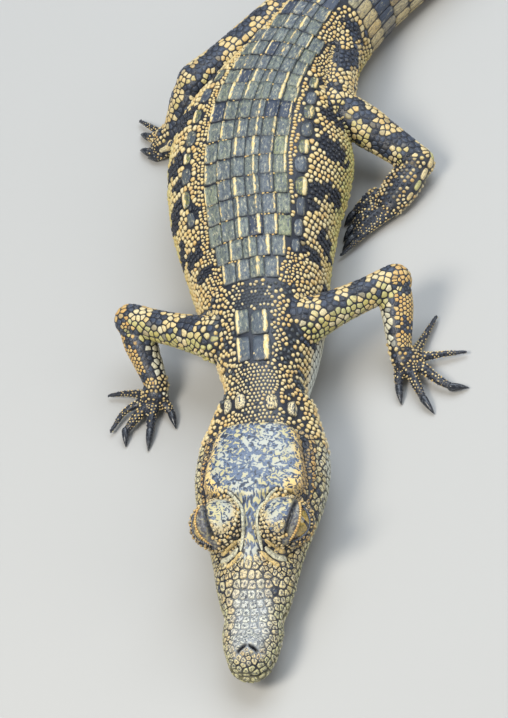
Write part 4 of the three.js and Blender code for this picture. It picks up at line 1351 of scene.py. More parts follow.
def paintLimb(bed, luck, luck2):
    where, points, up = bed["where"], bed["at"], bed["up"]
    inward = -np.sign(points[:, 0] - np.interp(points[:, 1], [-60, 0, 60], [0, 0, 16])) * up[:, 0]
    cream = blend(paint.cream, paint.pale, luck * 0.7)
    orange = blend(paint.orange, paint.cream, luck)
    green = blend(blend(paint.pale, paint.cream, luck), paint.green, (luck2 > 0.35) * 0.55)
    navy = blend(paint.black * 1.3, paint.slate * 0.8, luck * 0.6)
    patch = smooth(0.0, 0.06, fuzz(points, 0.24, 9) + 0.35 * fuzz(points, 0.55, 10))
    tint = cream.copy()
    for i in np.unique(where.limb[where.limb >= 0]):
        part, kind = limbParts[i]["part"], limbParts[i]["kind"]
        at = where.limb == i
        t = where.along
        if part == "upper" and kind == "fore":
            bars = smooth(0.15, 0.3, np.cos((t - 0.3) / 0.36 * 2 * math.pi) + 1.1 * fuzz(points, 0.3, 11))
            look = blend(cream, green, smooth(0.25, 0.6, -up[:, 1]))
            look = blend(look, orange, smooth(0.3, 0.7, up[:, 1]))
            look = blend(look, navy, bars * smooth(-0.75, -0.4, up[:, 1]))
            look = blend(look, navy, (luck2 < 0.12) * smooth(0.2, 0.4, up[:, 2]))
        elif part == "lower" and kind == "fore":
            ragged = inward + 0.22 * fuzz(points, 0.4, 12)
            look = blend(orange, blend(paint.white, paint.pale, 0.2 + 0.6 * luck), smooth(0.3, 0.4, inward))
            slateBand = smooth(-0.12, -0.06, ragged) * smooth(0.48, 0.42, ragged)
            outside = patch * (inward < 0) * (luck2 > 0.4)
            look = blend(look, navy, np.maximum(slateBand * (luck2 > 0.08), outside))
        elif part == "upper":
            look = blend(cream, orange, 0.5 * luck2)
            look = blend(look, navy, smooth(-0.02, 0.03, fuzz(points, 0.2, 13) + 0.3 * fuzz(points, 0.5, 14)))
        elif part == "lower":
            look = blend(blend(cream, orange, luck2 * 0.5), green, smooth(0.2, 0.8, -up[:, 1]) * 0.7)
            look = blend(look, navy, patch)
        elif part == "foot":
            light = blend(orange, paint.pale, luck2 * (0.8 if kind == "hind" else 0.4))
            look = blend(navy, light, (luck > (0.36 if kind == "fore" else 0.2)) * (0.8 + 0.2 * luck2))
            band = smooth(0.8, 0.95, up[:, 2] + 0.3 * fuzz(points, 0.3, 15)) * smooth(0.2, 0.5, t)
            look = blend(look, navy, band * (1 if kind == "fore" else luck2 > 0.4))
            look = blend(look, cream, smooth(0.25, 0.0, t) * 0.8)
        else:
            look = blend(navy, blend(orange, cream, luck2), (luck > 0.45) * smooth(1.0, 0.55, t))
            look = blend(look, paint.black, smooth(0.85, 1.0, t))
        tint[at] = look[at]
    return blend(tint, paint.pale, smooth(-0.35, -0.75, up[:, 2]) * 0.8)


def snoutSheenShare(head, points):
    # painted sheen: how far into the pale blue reflection on the middle of the snout
    out, along = np.abs(head[:, 0]), head[:, 1]
    return smooth(6.2, 2.6, out + 0.9 * fuzz(points, 0.4, 19)) * smooth(2, 6, along) * smooth(27, 17, along)


def paintHead(head, points, luck, luck2):
    out, along, high = np.abs(head[:, 0]), head[:, 1], head[:, 2]
    mouth = mouthHeight(along)
    tint = blend(paint.cream, paint.pale, 0.35 + 0.5 * luck)
    # painted sheen: the middle of the snout turned pale blue-white, as if it reflected the light above
    crown = snoutSheenShare(head, points) * (high > mouth + 2)
    tint = blend(tint, blend(paint.sheen, paint.white, luck) * 1.1, crown * 0.85)
    tint = blend(tint, paint.orange, smooth(0.5, 1.0, luck2) * 0.4 * (1 - crown))
    tint = blend(tint, paint.green, smooth(5, 9, out) * smooth(10, 24, along) * 0.3 * luck2)
    jaw = smooth(mouth + 4.2, mouth + 2.4, high)
    pocket = blend(paint.pale, paint.green, 0.2 + 0.25 * luck2)
    tint = blend(tint, blend(pocket, paint.white, smooth(38, 60, along) * 0.7), jaw)
    temple = smooth(40, 47, along) * (1 - jaw) * (out > 9) * (high > 18.4)
    tint = blend(tint, paint.orange, temple * 0.65)
    orbit = nearOrbit(head)
    inner = smooth(11.5, 8.5, out)
    rind = blend(blend(paint.orange, paint.cream, 0.3 + 0.7 * luck), paint.pale, inner * (0.3 + 0.5 * luck2))
    tint = blend(tint, rind, orbit * 0.9)
    spots = (fuzz(points, 0.9, 20) > 0.2) * (luck2 < 0.16) * (out > 2.2)
    spots = spots * (1 - orbit) * (high > mouth + 3) * (1 - crown)
    darkRear = smooth(52, 62, along) * (1 - jaw) * (luck < 0.35) * (high > 18.4)
    tint = blend(tint, paint.black, np.maximum(spots, darkRear))
    return blend(tint, paint.white, smooth(4.4, 3.8, high) * 0.8)


# growing the scales over the skin

def creaseLines():
    # no scale crosses these lines: the mouth, the groove beside the table and the nostrils
    found, along = [], np.arange(0.8, 56, 0.8)
    for apart in (0.2, -0.2):
        for side in (1, -1):
            found.append(onHeadSide(side, along, mouthHeight(along) + apart)[0])
        ahead = headTurnRoll @ np.array([0, 1.0, 0])
        starts = [fromHead([x, -20, mouthHeight(0) + apart]) for x in np.arange(-2.4, 2.5, 0.8)]
        found.append(np.array([castOn(start, ahead)[0] for start in starts]))
    for line, apart, count in ((carvings["tableFold"][2], 0.36, 30), (nostril["lines"], 0.42, 4)):
        curve = throughPoints([(*p, 0) for p in line], count)[:, :2]
        across = unit(np.gradient(curve, axis=0))[:, ::-1] * [1, -1]
        for side in (1, -1):
            for way in (1, -1):
                spots = curve + across * apart * way
                found.append(onHeadTop(spots[:, 0] * side, spots[:, 1])[0])
    return found


def gatherFences():
    # seeds count half way, edges of plates count whole
    points = [b["at"] for b in beds if b["half"] is None]
    weights = [np.ones(len(p)) for p in points]
    outlines = [b["outline"] for b in beds if b["half"] is not None] + creaseLines()
    points += outlines
    weights += [np.full(len(p), 2.0) for p in outlines]
    points = np.vstack(points)
    return points, np.concatenate(weights), treeOf(points)


fencePoints, fenceWeights, fenceTree = gatherFences()


def cellReach(bed, theta, look):
    # how far each scale spreads in each direction before it meets its neighbours
    near = 20  # places that each scale looks at
    index = np.array([[hit[1] for hit in fenceTree.find_n(p, near)] for p in bed["at"]])
    gap = fencePoints[index] - bed["at"][:, None]
    x, y = np.moveaxis(inPlane(gap, bed["ahead"], bed["up"]), 2, 0)
    far = np.linalg.norm(gap, axis=2)
    far[far < 1e-4] = 1e4
    toward = np.cos(theta[None, None, :] - np.arctan2(y, x)[:, :, None])
    bound = (far * fenceWeights[index] / 2)[:, :, None] / np.maximum(toward, 0.08)
    bound[toward <= 0.08] = 1e4
    power = look["round"]
    reach = (bound ** -power).sum(1) ** (-1 / power)
    return np.clip(np.minimum(reach, look["cap"]) - look["gap"] / 2, 0.12, None)


def spreadOver(bed, x, y):
    # places on the skin so far ahead of each scale's middle and so far to its side
    side = np.cross(bed["ahead"], bed["up"])
    flat = bed["ahead"][:, None] * x[:, :, None] + side[:, None] * y[:, :, None]
    spots, _ = ontoSkin((bed["at"][:, None] + flat).reshape(-1, 3))
    return spots.reshape(*x.shape, 3)


def growCells(bed):
    look = scaleLooks[bed["look"]]
    sides, n = look["sides"], len(bed["at"])
    theta = np.arange(sides) / sides * 2 * math.pi
    reach = cellReach(bed, theta, look) * dice.uniform(0.94, 1.04, (n, sides))
    rim = spreadOver(bed, np.cos(theta) * reach, np.sin(theta) * reach) - bed["at"][:, None]
    drop = (rim * bed["up"][:, None]).sum(2)
    mean = reach.mean(1)
    height = look["height"] * np.clip(mean / (look["cap"] * 0.55), 0.35, 1.25) * dice.uniform(0.85, 1.15, n)
    verts, edge = [], []
    for share, rise in look["profile"]:
        lift = np.where(rise < 0, -look["sink"], rise * height)
        flatPart = rim - bed["up"][:, None] * drop[:, :, None]
        ring = (bed["at"][:, None] + flatPart * share
                + bed["up"][:, None] * (drop * share ** 2 + lift[:, None])[:, :, None])
        verts.append(ring if share else ring[:, :1])
        edge += [share] * (sides if share else 1)
    verts = np.concatenate(verts, axis=1)
    verts[:, :, 2] = np.maximum(verts[:, :, 2], 0.03)
    rings = len(look["profile"]) - 1
    faces = [(0, 1 + k, 1 + (k + 1) % sides) for k in range(sides)]
    for r in range(rings - 1):
        a, b = 1 + r * sides, 1 + (r + 1) * sides
        faces += [(a + k, b + k, b + (k + 1) % sides, a + (k + 1) % sides) for k in range(sides)]
    faces.append(tuple(1 + (rings - 1) * sides + k for k in reversed(range(sides))))
    return verts, faces, np.tile(edge, (n, 1)), np.zeros((n, verts.shape[1])), verts


plateGrid = {"across": [-1, -0.94, -0.74, -0.48, -0.24, 0, 0.24, 0.48, 0.74, 0.94, 1],
             "along": [-1, -0.95, -0.6, -0.2, 0.2, 0.6, 0.95, 1], "edgeDrop": 0.3}


def growPlates(bed):
    n, wide, long = len(bed["at"]), len(plateGrid["across"]), len(plateGrid["along"])
    keel = np.broadcast_to(np.asarray(bed["keel"], float), n)
    power = bed.get("square", 5)
    gx, gy, edge = roundedGrid(plateGrid["along"], plateGrid["across"], power)
    # square plates have their dark edge at the ends more than at the sides
    edgePaint = np.maximum(np.abs(gx), np.abs(gy) * (0.94 if power > 7 else 1)) if power > 5 else edge
    # a column of corners runs along each keel
    across = gy + 0.25 * np.sign(keel)[:, None] * (1 - gy ** 2) * np.abs(keel)[:, None]
    wobble = dice.uniform(-0.05, 0.05, (n, len(gx)))
    x = (gx + wobble * 0.5) * bed["half"][:, :1]
    y = (across + wobble * 0.5) * bed["half"][:, 1:]
    small = np.clip(bed["half"].min(1) / 1.5, 0.4, 1)[:, None]
    width = dice.uniform(0.15, 0.27, (n, 1)) * bed.get("ridgeWide", 1)
    ridge = np.exp(-(((across - keel[:, None]) / width) ** 2)) * smooth(-1.5, -0.5, gx) * (edge < 0.99)
    rise = bed["rise"] * small * (1 - 0.4 * edge ** 4) + 0.1 * gx
    rise = np.where(edge > 0.99, -plateGrid["edgeDrop"], rise + bed["ridge"] * small * ridge)
    verts = spreadOver(bed, x, y) + bed["up"][:, None] * rise[:, :, None]
    verts[:, :, 2] = np.maximum(verts[:, :, 2], 0.03)
    at = lambda i, j: i * wide + j
    faces = [(at(i, j), at(i + 1, j), at(i + 1, j + 1), at(i, j + 1))
             for i in range(long - 1) for j in range(wide - 1)]
    loop = ([at(0, j) for j in range(wide)] + [at(i, wide - 1) for i in range(1, long)]
            + [at(long - 1, j) for j in range(wide - 2, -1, -1)] + [at(i, 0) for i in range(long - 2, 0, -1)])
    faces.append(tuple(loop))
    # the markings of a plate run along it
    streaks = np.stack([x * 0.5, y * 1.25, np.broadcast_to(dice.uniform(0, 90, (n, 1)), x.shape)], 2)
    return verts, faces, np.tile(edgePaint, (n, 1)), ridge, streaks


def meshOf(name, verts, faceSets):
    # faceSets: (face template, how many copies, corners in each copy, first corner)
    mesh = bpy.data.meshes.new(name)
    mesh.vertices.add(len(verts))
    mesh.vertices.foreach_set("co", (verts * 0.001).astype(np.float32).ravel())
    loops, sizes = [], []
    for template, copies, each, first in faceSets:
        corners = np.concatenate([np.array(f) for f in template])
        count = np.array([len(f) for f in template])
        loops.append((corners[None, :] + first + each * np.arange(copies)[:, None]).ravel())
        sizes.append(np.tile(count, copies))
    loops, sizes = np.concatenate(loops), np.concatenate(sizes)
    mesh.loops.add(len(loops))
    mesh.loops.foreach_set("vertex_index", loops.astype(np.int32))
    mesh.polygons.add(len(sizes))
    mesh.polygons.foreach_set("loop_start", np.concatenate([[0], np.cumsum(sizes)[:-1]]).astype(np.int32))
    mesh.polygons.foreach_set("use_smooth", np.full(len(sizes), True))
    mesh.update(calc_edges=True)
    mesh.validate()
    thing = bpy.data.objects.new(name, mesh)
    bpy.context.scene.collection.objects.link(thing)
    return thing


def unwrapSheet(uv):
    # all of a piece's unwrap inside the unit square
    low, high = uv.min(0), uv.max(0)
    return (uv - low) / (high - low).max() * 0.96 + 0.02


def growPiece(piece):
    verts, faceSets, first = [], [], 0
    gathered = {"tint": [], "grain": [], "edge": [], "keel": [], "mottle": [], "cream": [], "uv": []}
    for bed in (b for b in beds if b["piece"] == piece and len(b["at"])):
        tint, mottle, cream, spot = paintBed(bed)
        grown, faces, edge, keel, grain = growPlates(bed) if bed["half"] is not None else growCells(bed)
        n, each = grown.shape[:2]
        local = inPlane(grown - bed["at"][:, None], bed["ahead"], bed["up"])
        gathered["uv"].append((bed["uv"][:, None] + local).reshape(-1, 2))
        gathered["tint"].append(np.repeat(tint, each, axis=0))
        gathered["grain"].append(grain.reshape(-1, 3))
        gathered["mottle"].append(np.repeat(mottle, each))
        gathered["cream"].append(np.repeat(cream, each))
        # the middle of the snout has no dark rims, as if its painted sheen washed them out
        plain = snoutSheenShare(bed["where"].head, bed["at"]) * (bed["where"].kind == 0)
        gathered["edge"].append((edge * (1 - 0.14 * plain[:, None])).ravel())
        gathered["keel"].append((keel - spot[:, None]).ravel())  # below 0 where a spot marks the middle
        verts.append(grown.reshape(-1, 3))
        faceSets.append((faces, n, each, first))
        first += n * each
    thing = meshOf(piece, np.vstack(verts), faceSets)
    for name in ("tint", "grain"):
        giveNumbers(thing, name, np.vstack(gathered[name]))
    for name in ("edge", "keel", "mottle", "cream"):
        giveNumbers(thing, name, np.concatenate(gathered[name]))
    giveUnwrap(thing, unwrapSheet(np.vstack(gathered["uv"])))
    return thing


scalePieces = {name: growPiece(name) for name in sorted({b["piece"] for b in beds})}
for name, thing in scalePieces.items():
    triangles = sum(len(p.vertices) - 2 for p in thing.data.polygons)
    print("stage:", name, triangles, "triangles")


# paints

def sumOf(operation, turned=False):
    def join(self, *other):
        values = (*other, self) if turned else (self, *other)
        return self.maker.node("ShaderNodeMath", {"operation": operation}, values)
    return join


class Wire:
    # a socket that takes part in sums
    def __init__(self, maker, socket):
        self.maker, self.socket = maker, socket

    __add__, __radd__ = sumOf("ADD"), sumOf("ADD", True)
    __sub__, __rsub__ = sumOf("SUBTRACT"), sumOf("SUBTRACT", True)
    __mul__, __rmul__ = sumOf("MULTIPLY"), sumOf("MULTIPLY", True)
    __truediv__, __abs__ = sumOf("DIVIDE"), sumOf("ABSOLUTE")

    def step(self, low, high):
        return self.maker.node("ShaderNodeMapRange", {"interpolation_type": "SMOOTHSTEP"},
                               {"Value": self, "From Min": low, "From Max": high})


class Finish:
    # one material and its nodes
    def __init__(self, name):
        self.material = bpy.data.materials.new(name)
        self.material.use_nodes = True
        self.tree = self.material.node_tree
        self.shader = self.tree.nodes["Principled BSDF"]

    def plug(self, socket, value):
        if isinstance(value, Wire):
            self.tree.links.new(value.socket, socket)
        elif isinstance(value, (tuple, list, np.ndarray)) and socket.type == "RGBA":
            socket.default_value = (*[float(x) for x in value], 1.0)
        elif isinstance(value, (tuple, list, np.ndarray)):
            socket.default_value = [float(x) for x in value]
        else:
            socket.default_value = value

    def node(self, kind, settings=None, values=(), out=0):
        made = self.tree.nodes.new(kind)
        for key, value in (settings or {}).items():
            setattr(made, key, value)
        pairs = values.items() if isinstance(values, dict) else enumerate(values)
        for key, value in pairs:
            self.plug(made.inputs[key], value)
        return Wire(self, made.outputs[out])

    def number(self, name):
        return self.node("ShaderNodeAttribute", {"attribute_name": name}, out="Fac")

    def colour(self, name):
        return self.node("ShaderNodeAttribute", {"attribute_name": name}, out="Color")

    def noise(self, perMillimetre, detail=2.0, rough=0.5, twist=0.0, place=None):
        # place is in millimetres, or else where the surface is
        scale = perMillimetre if place else perMillimetre * 1000
        place = place or self.node("ShaderNodeTexCoord", out="Object")
        return self.node("ShaderNodeTexNoise", {}, {
            "Vector": place, "Scale": scale, "Detail": detail, "Roughness": rough, "Distortion": twist})

    def mix(self, a, b, share, mode="MIX"):
        made = self.tree.nodes.new("ShaderNodeMix")
        made.data_type, made.blend_type = "RGBA", mode
        for k, value in ((0, share), (6, a), (7, b)):
            self.plug(made.inputs[k], value)
        return Wire(self, made.outputs[2])

    def set(self, **values):
        for key, value in values.items():
            self.plug(self.shader.inputs[key.replace("_", " ")], value)

    def bump(self, height, depth):
        # depth in millimetres
        self.set(Normal=self.node("ShaderNodeBump", {}, {"Distance": depth * 0.001, "Height": height}))


def makeScalePaint():
    f = Finish("scalePaint")
    tint, edge, keel = f.colour("tint"), f.number("edge"), f.number("keel")
    mottle, cream = f.number("mottle"), f.number("cream")
    place = f.colour("grain")
    grain = f.noise(1.5, 3, 0.65, place=place)
    fine = f.noise(4.5, 2, 0.6)
    worms = abs(f.noise(1.15, 1.0, 0.5, 0.5, place) - 0.5)
    dark = f.mix(tint, paint.slate * 0.5, mottle * (1 - worms.step(0.02, 0.05)) * 0.75)
    dark = f.mix(dark, paint.black * 2.2, mottle * grain.step(0.52, 0.66) * 0.75)
    dark = f.mix(dark, paint.black * 3, mottle * fine.step(0.5, 0.72) * 0.45)
    light = f.mix(dark, paint.pale, mottle * (1 - grain.step(0.34, 0.44)) * 0.42)
    band = keel * cream
    ridge = f.mix(light, f.mix(paint.pale, paint.cream, grain.step(0.4, 0.6)),
                  (band + (grain - 0.5) * 1.8).step(0.36, 0.62) * band.step(0.06, 0.3))
    spot = (keel * -1.0).step(0.3, 0.9) * (1 - (edge + (fine - 0.5) * 1.2).step(0.2, 0.42))
    spotted = f.mix(ridge, paint.slate * 0.4, spot * 0.85)
    rimmed = f.mix(spotted, paint.black, edge.step(0.86, 1.0) * 0.9)
    f.set(Base_Color=rimmed, Roughness=fine * 0.22 + 0.28, Specular_IOR_Level=0.42)
    f.bump(fine * 0.6 + grain * 0.4, 0.12)
    return f.material


def makeSkinPaint():
    # figured is the share of the winding marks, rim warms them, star turns them outwards from the middle
    f = Finish("skinPaint")
    tint, figured, shade, rim = f.colour("tint"), f.number("figured"), f.number("shade"), f.number("rim")
    fine = f.noise(3.5, 3, 0.6)
    blot = f.noise(0.2, 2, 0.5)
    winding = f.noise(1.0, 1.0, 0.45, 0.9)
    spokes = f.noise(1.0, 1.0, 0.4, 0.6, f.colour("star"))
    swirl = f.node("ShaderNodeMix", {}, {0: f.number("near"), 2: winding, 3: spokes})
    ground = f.mix(paint.blue * 0.8, paint.blue * 1.35, fine.step(0.35, 0.7))
    ground = f.mix(ground, paint.black * 1.6, (swirl + (fine - 0.5) * 0.1).step(0.575, 0.635) * 0.9)
    marks = 1 - (swirl + (blot - 0.5) * 0.2 + f.number("bias")).step(0.455, 0.50)
    light = f.mix(paint.mark, paint.warmMark, (blot + (fine - 0.5) * 0.3).step(0.42, 0.62))
    light = f.mix(light, paint.cream * 1.05, rim)
    light = f.mix(light, paint.black * 2, rim * f.noise(1.2, 1, 0.4).step(0.61, 0.65))
    plain = f.mix(tint, paint.black, fine.step(0.5, 0.7) * 0.4)
    skinColour = f.mix(plain, f.mix(ground, light, marks), figured)
    f.set(Base_Color=f.mix(skinColour, paint.black * 0.6, shade), Roughness=fine * 0.2 + 0.28,
          Specular_IOR_Level=0.55)
    f.bump(fine * 0.5 + marks * figured * 0.6, 0.12)
    return f.material


scalePaint, skinPaint = makeScalePaint(), makeSkinPaint()
for thing in scalePieces.values():
    thing.data.materials.append(scalePaint)
skin.data.materials.append(skinPaint)


def paintSkin():
    verts = vertsOf(skin)
    where = Places(verts)
    n = len(verts)
    head, body, limb = where.kind == 0, where.kind == 1, where.kind == 2
    under = smooth(28, 40, np.abs(where.arc)) * body
    tint = blend(paint.black, paint.olive, under * 0.5)
    tint[limb] = paint.black
    high = where.head[:, 2]
    jaw = smooth(mouthHeight(where.head[:, 1]) + 3, mouthHeight(where.head[:, 1]) - 1, high) * head
    tint = blend(tint, paint.olive, jaw * 0.6)
    strip, bars = lidStrip(where.head) & head, nearBars(where.head, 0.2) & head
    table, between = inTable(where.head) & head, betweenEyes(where.head) & head
    plate = (plateOfEye(where.head) < 1) & head & (high > 19) & ~strip
    out, along = np.abs(where.head[:, 0]), where.head[:, 1]
    onSnout = head & (high > mouthHeight(along) + 3)
    # painted sheen: the skin between the scales pale blue on the middle of the snout and round the nostrils
    tint = blend(tint, paint.sheen * 0.5, 0.9 * snoutSheenShare(where.head, verts) * onSnout)
    nostrils = lineGap(np.column_stack([out, along]), nostril["lines"])
    tint = blend(tint, paint.sheen * 0.7, smooth(1.9, 0.9, nostrils) * onSnout)
    tint[strip] = mix(paint.orange, paint.ash, 0.8) * 0.62
    giveNumbers(skin, "tint", tint)
    giveNumbers(skin, "figured", np.where(strip, 0.45, (table | plate | between) & ~bars))
    outline = np.interp(where.head[:, 1], *np.array(tableHalf).T) - np.abs(where.head[:, 0])
    rear = 63.2 - where.head[:, 1]
    corner = np.hypot(np.abs(where.head[:, 0]) - 10.2, where.head[:, 1] - 44.6)
    rim = smooth(2.7, 1.0, outline + 0.5 * fuzz(verts, 0.5, 33)) + 0.7 * smooth(1.6, 0.5, rear)
    rim = np.where(table, rim + smooth(3.4, 1.6, corner), 0)
    rim = np.clip(np.where(plate, 0.6 * smooth(0.6, 1.0, plateOfEye(where.head)), rim), 0, 1)
    giveNumbers(skin, "rim", rim)
    # spokes of the pattern round the middle of the table, and lines along between the eyes
    x, y = where.head[:, 0] + 1.0, where.head[:, 1] - 50.5
    far = np.maximum(np.hypot(x, y), 0.3)
    spokes = np.column_stack([x / far * 2.6, y / far * 2.6, far * 0.75])
    lines = np.column_stack([where.head[:, 0] * 1.3, where.head[:, 1] * 0.6, np.zeros(n)])
    giveNumbers(skin, "star", np.where((along < 44.9)[:, None], lines, spokes))
    ahead = smooth(44.9, 42.4, along) * (table | between)
    middle = smooth(6.5, 2.5, far) * smooth(44.9, 46.9, along) * table
    giveNumbers(skin, "near", ahead + middle * 0.65)
    pale = np.where(where.head[:, 0] < 0, 0.075, 0.015)  # painted highlight: the right eye's plate gets more pale marks, for its bright white reflection
    giveNumbers(skin, "bias", middle * 0.05 - ahead * 0.02 - rim * 0.08 - plate * pale)
    giveNumbers(skin, "shade", skinShade)
    giveUnwrap(skin, unwrapSheet(where.unwrap()))


paintSkin()


# small repeated things, made with geometry nodes

class Tree:
    # a geometry tree with named inputs, ending in realized instances and a material
    def __init__(self, name, inputs):
        self.group = bpy.data.node_groups.new(name, "GeometryNodeTree")
        face = self.group.interface
        face.new_socket("Geometry", in_out="OUTPUT", socket_type="NodeSocketGeometry")
        self.slots = {}
        for label, kind in {"Geometry": "Geometry", **inputs}.items():
            made = face.new_socket(label, in_out="INPUT", socket_type="NodeSocket" + kind)
            self.slots[label] = made.identifier
        self.inputs = self.group.nodes.new("NodeGroupInput")

    def node(self, kind, settings=None, values=None):
        made = self.group.nodes.new(kind)
        for key, value in (settings or {}).items():
            setattr(made, key, value)
        for key, value in (values or {}).items():
            if isinstance(value, bpy.types.NodeSocket):
                self.group.links.new(value, made.inputs[key])
            else:
                made.inputs[key].default_value = value
        return made

    def named(self, name):
        kind = {"data_type": "FLOAT_VECTOR"}
        return self.node("GeometryNodeInputNamedAttribute", kind, {"Name": name}).outputs["Attribute"]

    def finish(self, geometry):
        real = self.node("GeometryNodeRealizeInstances", {}, {"Geometry": geometry})
        painted = self.node("GeometryNodeSetMaterial", {}, {
            "Geometry": real.outputs["Geometry"], "Material": self.inputs.outputs["Material"]})
        end = self.group.nodes.new("NodeGroupOutput")
        self.group.links.new(painted.outputs["Geometry"], end.inputs[0])
        return self


def makeScatter(name, addShape):
    # one shape at each point, lying along "ahead" and standing along "up", sized by "size"
    tree = Tree(name, {"Size": "Float", "Variation": "Float", "Seed": "Int", "Material": "Material"})
    given = tree.inputs.outputs
    shape = addShape(tree)
    stand = tree.node("FunctionNodeAlignRotationToVector", {"axis": "Z"}, {"Vector": tree.named("up")})
    lie = tree.node("FunctionNodeAlignRotationToVector", {"axis": "X", "pivot_axis": "Z"}, {
        "Rotation": stand.outputs["Rotation"], "Vector": tree.named("ahead")})
    vary = tree.node("FunctionNodeRandomValue", {"data_type": "FLOAT"}, {})
    floats = [s for s in vary.inputs if s.type == "VALUE"]
    low = tree.node("ShaderNodeMath", {"operation": "SUBTRACT"}, {0: 1.0, 1: given["Variation"]})
    high = tree.node("ShaderNodeMath", {"operation": "ADD"}, {0: 1.0, 1: given["Variation"]})
    tree.group.links.new(low.outputs[0], floats[0])
    tree.group.links.new(high.outputs[0], floats[1])
    tree.group.links.new(given["Seed"], vary.inputs["Seed"])
    amount = next(s for s in vary.outputs if s.type == "VALUE")
    grow = tree.node("ShaderNodeMath", {"operation": "MULTIPLY"}, {0: amount, 1: given["Size"]})
    scale = tree.node("ShaderNodeVectorMath", {"operation": "SCALE"}, {
        0: tree.named("size"), "Scale": grow.outputs[0]})
    placed = tree.node("GeometryNodeInstanceOnPoints", {}, {
        "Points": given["Geometry"], "Instance": shape, "Rotation": lie.outputs["Rotation"],
        "Scale": scale.outputs["Vector"]})
    return tree.finish(placed.outputs["Instances"])


def smoothed(tree, made):
    even = {"Geometry": made.outputs["Mesh"], "Shade Smooth": True}
    return tree.node("GeometryNodeSetShadeSmooth", {}, even).outputs["Geometry"]


def beadShape(tree):
    return smoothed(tree, tree.node("GeometryNodeMeshIcoSphere", {}, {"Radius": 1.0, "Subdivisions": 2}))


def spikeShape(tree):
    # a tooth: a round cone with its root at the point
    return smoothed(tree, tree.node("GeometryNodeMeshCone", {}, {
        "Vertices": 8, "Side Segments": 3, "Radius Top": 0.08, "Radius Bottom": 1.0, "Depth": 1.0}))


finShape = {"length": 7, "height": 4, "peak": 0.30, "lean": 0.14, "foot": -0.35}


def makeFin():
    # one scute of the tail's comb, a metre long, high and wide, for instances
    f = finShape
    verts, faces = [], []
    columns, rows = f["length"], f["height"]
    for side in (1, -1):
        for i in range(columns):
            x = -0.5 + i / (columns - 1)
            crest = math.sin(min(1, (x + 0.5) / (0.5 + f["peak"])) * math.pi / 2) ** 1.3
            crest *= 1 if x < f["peak"] else max(0.0, 1 - ((x - f["peak"]) / (0.5 - f["peak"])) ** 2 * 0.75)
            for j in range(rows):
                z = j / (rows - 1)
                thick = 0.5 * (1 - z ** 1.5 * 0.9) * (1 - abs(2 * x) ** 4 * 0.55)
                height = f["foot"] + z * (crest - f["foot"])
                verts.append((x + f["lean"] * z * (0.6 + x), side * thick, height))
    at = lambda s, i, j: (s * columns + i) * rows + j
    for i in range(columns - 1):
        for j in range(rows - 1):
            faces.append((at(0, i, j), at(0, i, j + 1), at(0, i + 1, j + 1), at(0, i + 1, j)))
            faces.append((at(1, i, j), at(1, i + 1, j), at(1, i + 1, j + 1), at(1, i, j + 1)))
        faces.append((at(0, i, rows - 1), at(1, i, rows - 1), at(1, i + 1, rows - 1), at(0, i + 1, rows - 1)))
        faces.append((at(0, i, 0), at(0, i + 1, 0), at(1, i + 1, 0), at(1, i, 0)))
    for j in range(rows - 1):
        faces.append((at(0, 0, j), at(1, 0, j), at(1, 0, j + 1), at(0, 0, j + 1)))
        last = columns - 1
        faces.append((at(0, last, j), at(0, last, j + 1), at(1, last, j + 1), at(1, last, j)))
    mesh = bpy.data.meshes.new("fin")
    mesh.from_pydata(verts, [], faces)
    mesh.polygons.foreach_set("use_smooth", np.full(len(mesh.polygons), True))
    thing = bpy.data.objects.new("fin", mesh)
    bpy.context.scene.collection.objects.link(thing)
    return thing


def scatter(name, tree, points, ahead, up, size, material, seed=3, variation=0.08, tints=None, marks=None):
    # points in millimetres; size is length, width and height of each copy
    thing = newMesh(name, points, [])
    for label, values in (("ahead", ahead), ("up", up), ("size", np.asarray(size) * 0.001)):
        layer = thing.data.attributes.new(label, "FLOAT_VECTOR", "POINT")
        layer.data.foreach_set("vector", np.asarray(values, np.float32).ravel())
    growth = thing.modifiers.new(name, "NODES")
    growth.node_group = tree.group
    for label, value in (("Size", 1.0), ("Variation", variation), ("Seed", seed), ("Material", material)):
        growth[tree.slots[label]] = value
    grownCopy(thing)
    each = len(thing.data.vertices) // len(points)
    for label in ("ahead", "up", "size"):
        if label in thing.data.attributes:
            thing.data.attributes.remove(thing.data.attributes[label])
    verts = vertsOf(thing).reshape(len(points), each, 3)
    offset = verts - points[:, None]
    height = (offset * up[:, None]).sum(2)
    uv = Places(points).unwrap()[:, None] + inPlane(offset, ahead, up)
    clamped = verts.reshape(-1, 3)
    clamped[:, 2] = np.maximum(clamped[:, 2], 0.03)
    putVerts(thing, clamped)
    giveUnwrap(thing, unwrapSheet(uv.reshape(-1, 2)))
    if tints is not None:
        giveNumbers(thing, "tint", np.repeat(tints, each, axis=0))
        low = height.min(1, keepdims=True)
        raised = (height - low) / np.ptp(height, axis=1)[:, None]
        giveNumbers(thing, "edge", np.clip(1.0 - raised * 1.2, 0, 1).ravel())
        giveNumbers(thing, "grain", clamped)
        for label in ("keel", "mottle", "cream"):
            giveNumbers(thing, label, np.full(each * len(points), (marks or {}).get(label, 0.0)))
    return thing


def fixFaces(thing):
    # all faces of closed shells turned outwards
    work = bmesh.new()
    work.from_mesh(thing.data)
    bmesh.ops.recalc_face_normals(work, faces=work.faces)
    work.to_mesh(thing.data)
    work.free()


# ridges of the head, as half-buried cords

barSettings = {"step": 0.35, "sides": 10, "wide": 1.15, "tall": 0.68, "lift": 0.1, "mottle": 0.7}


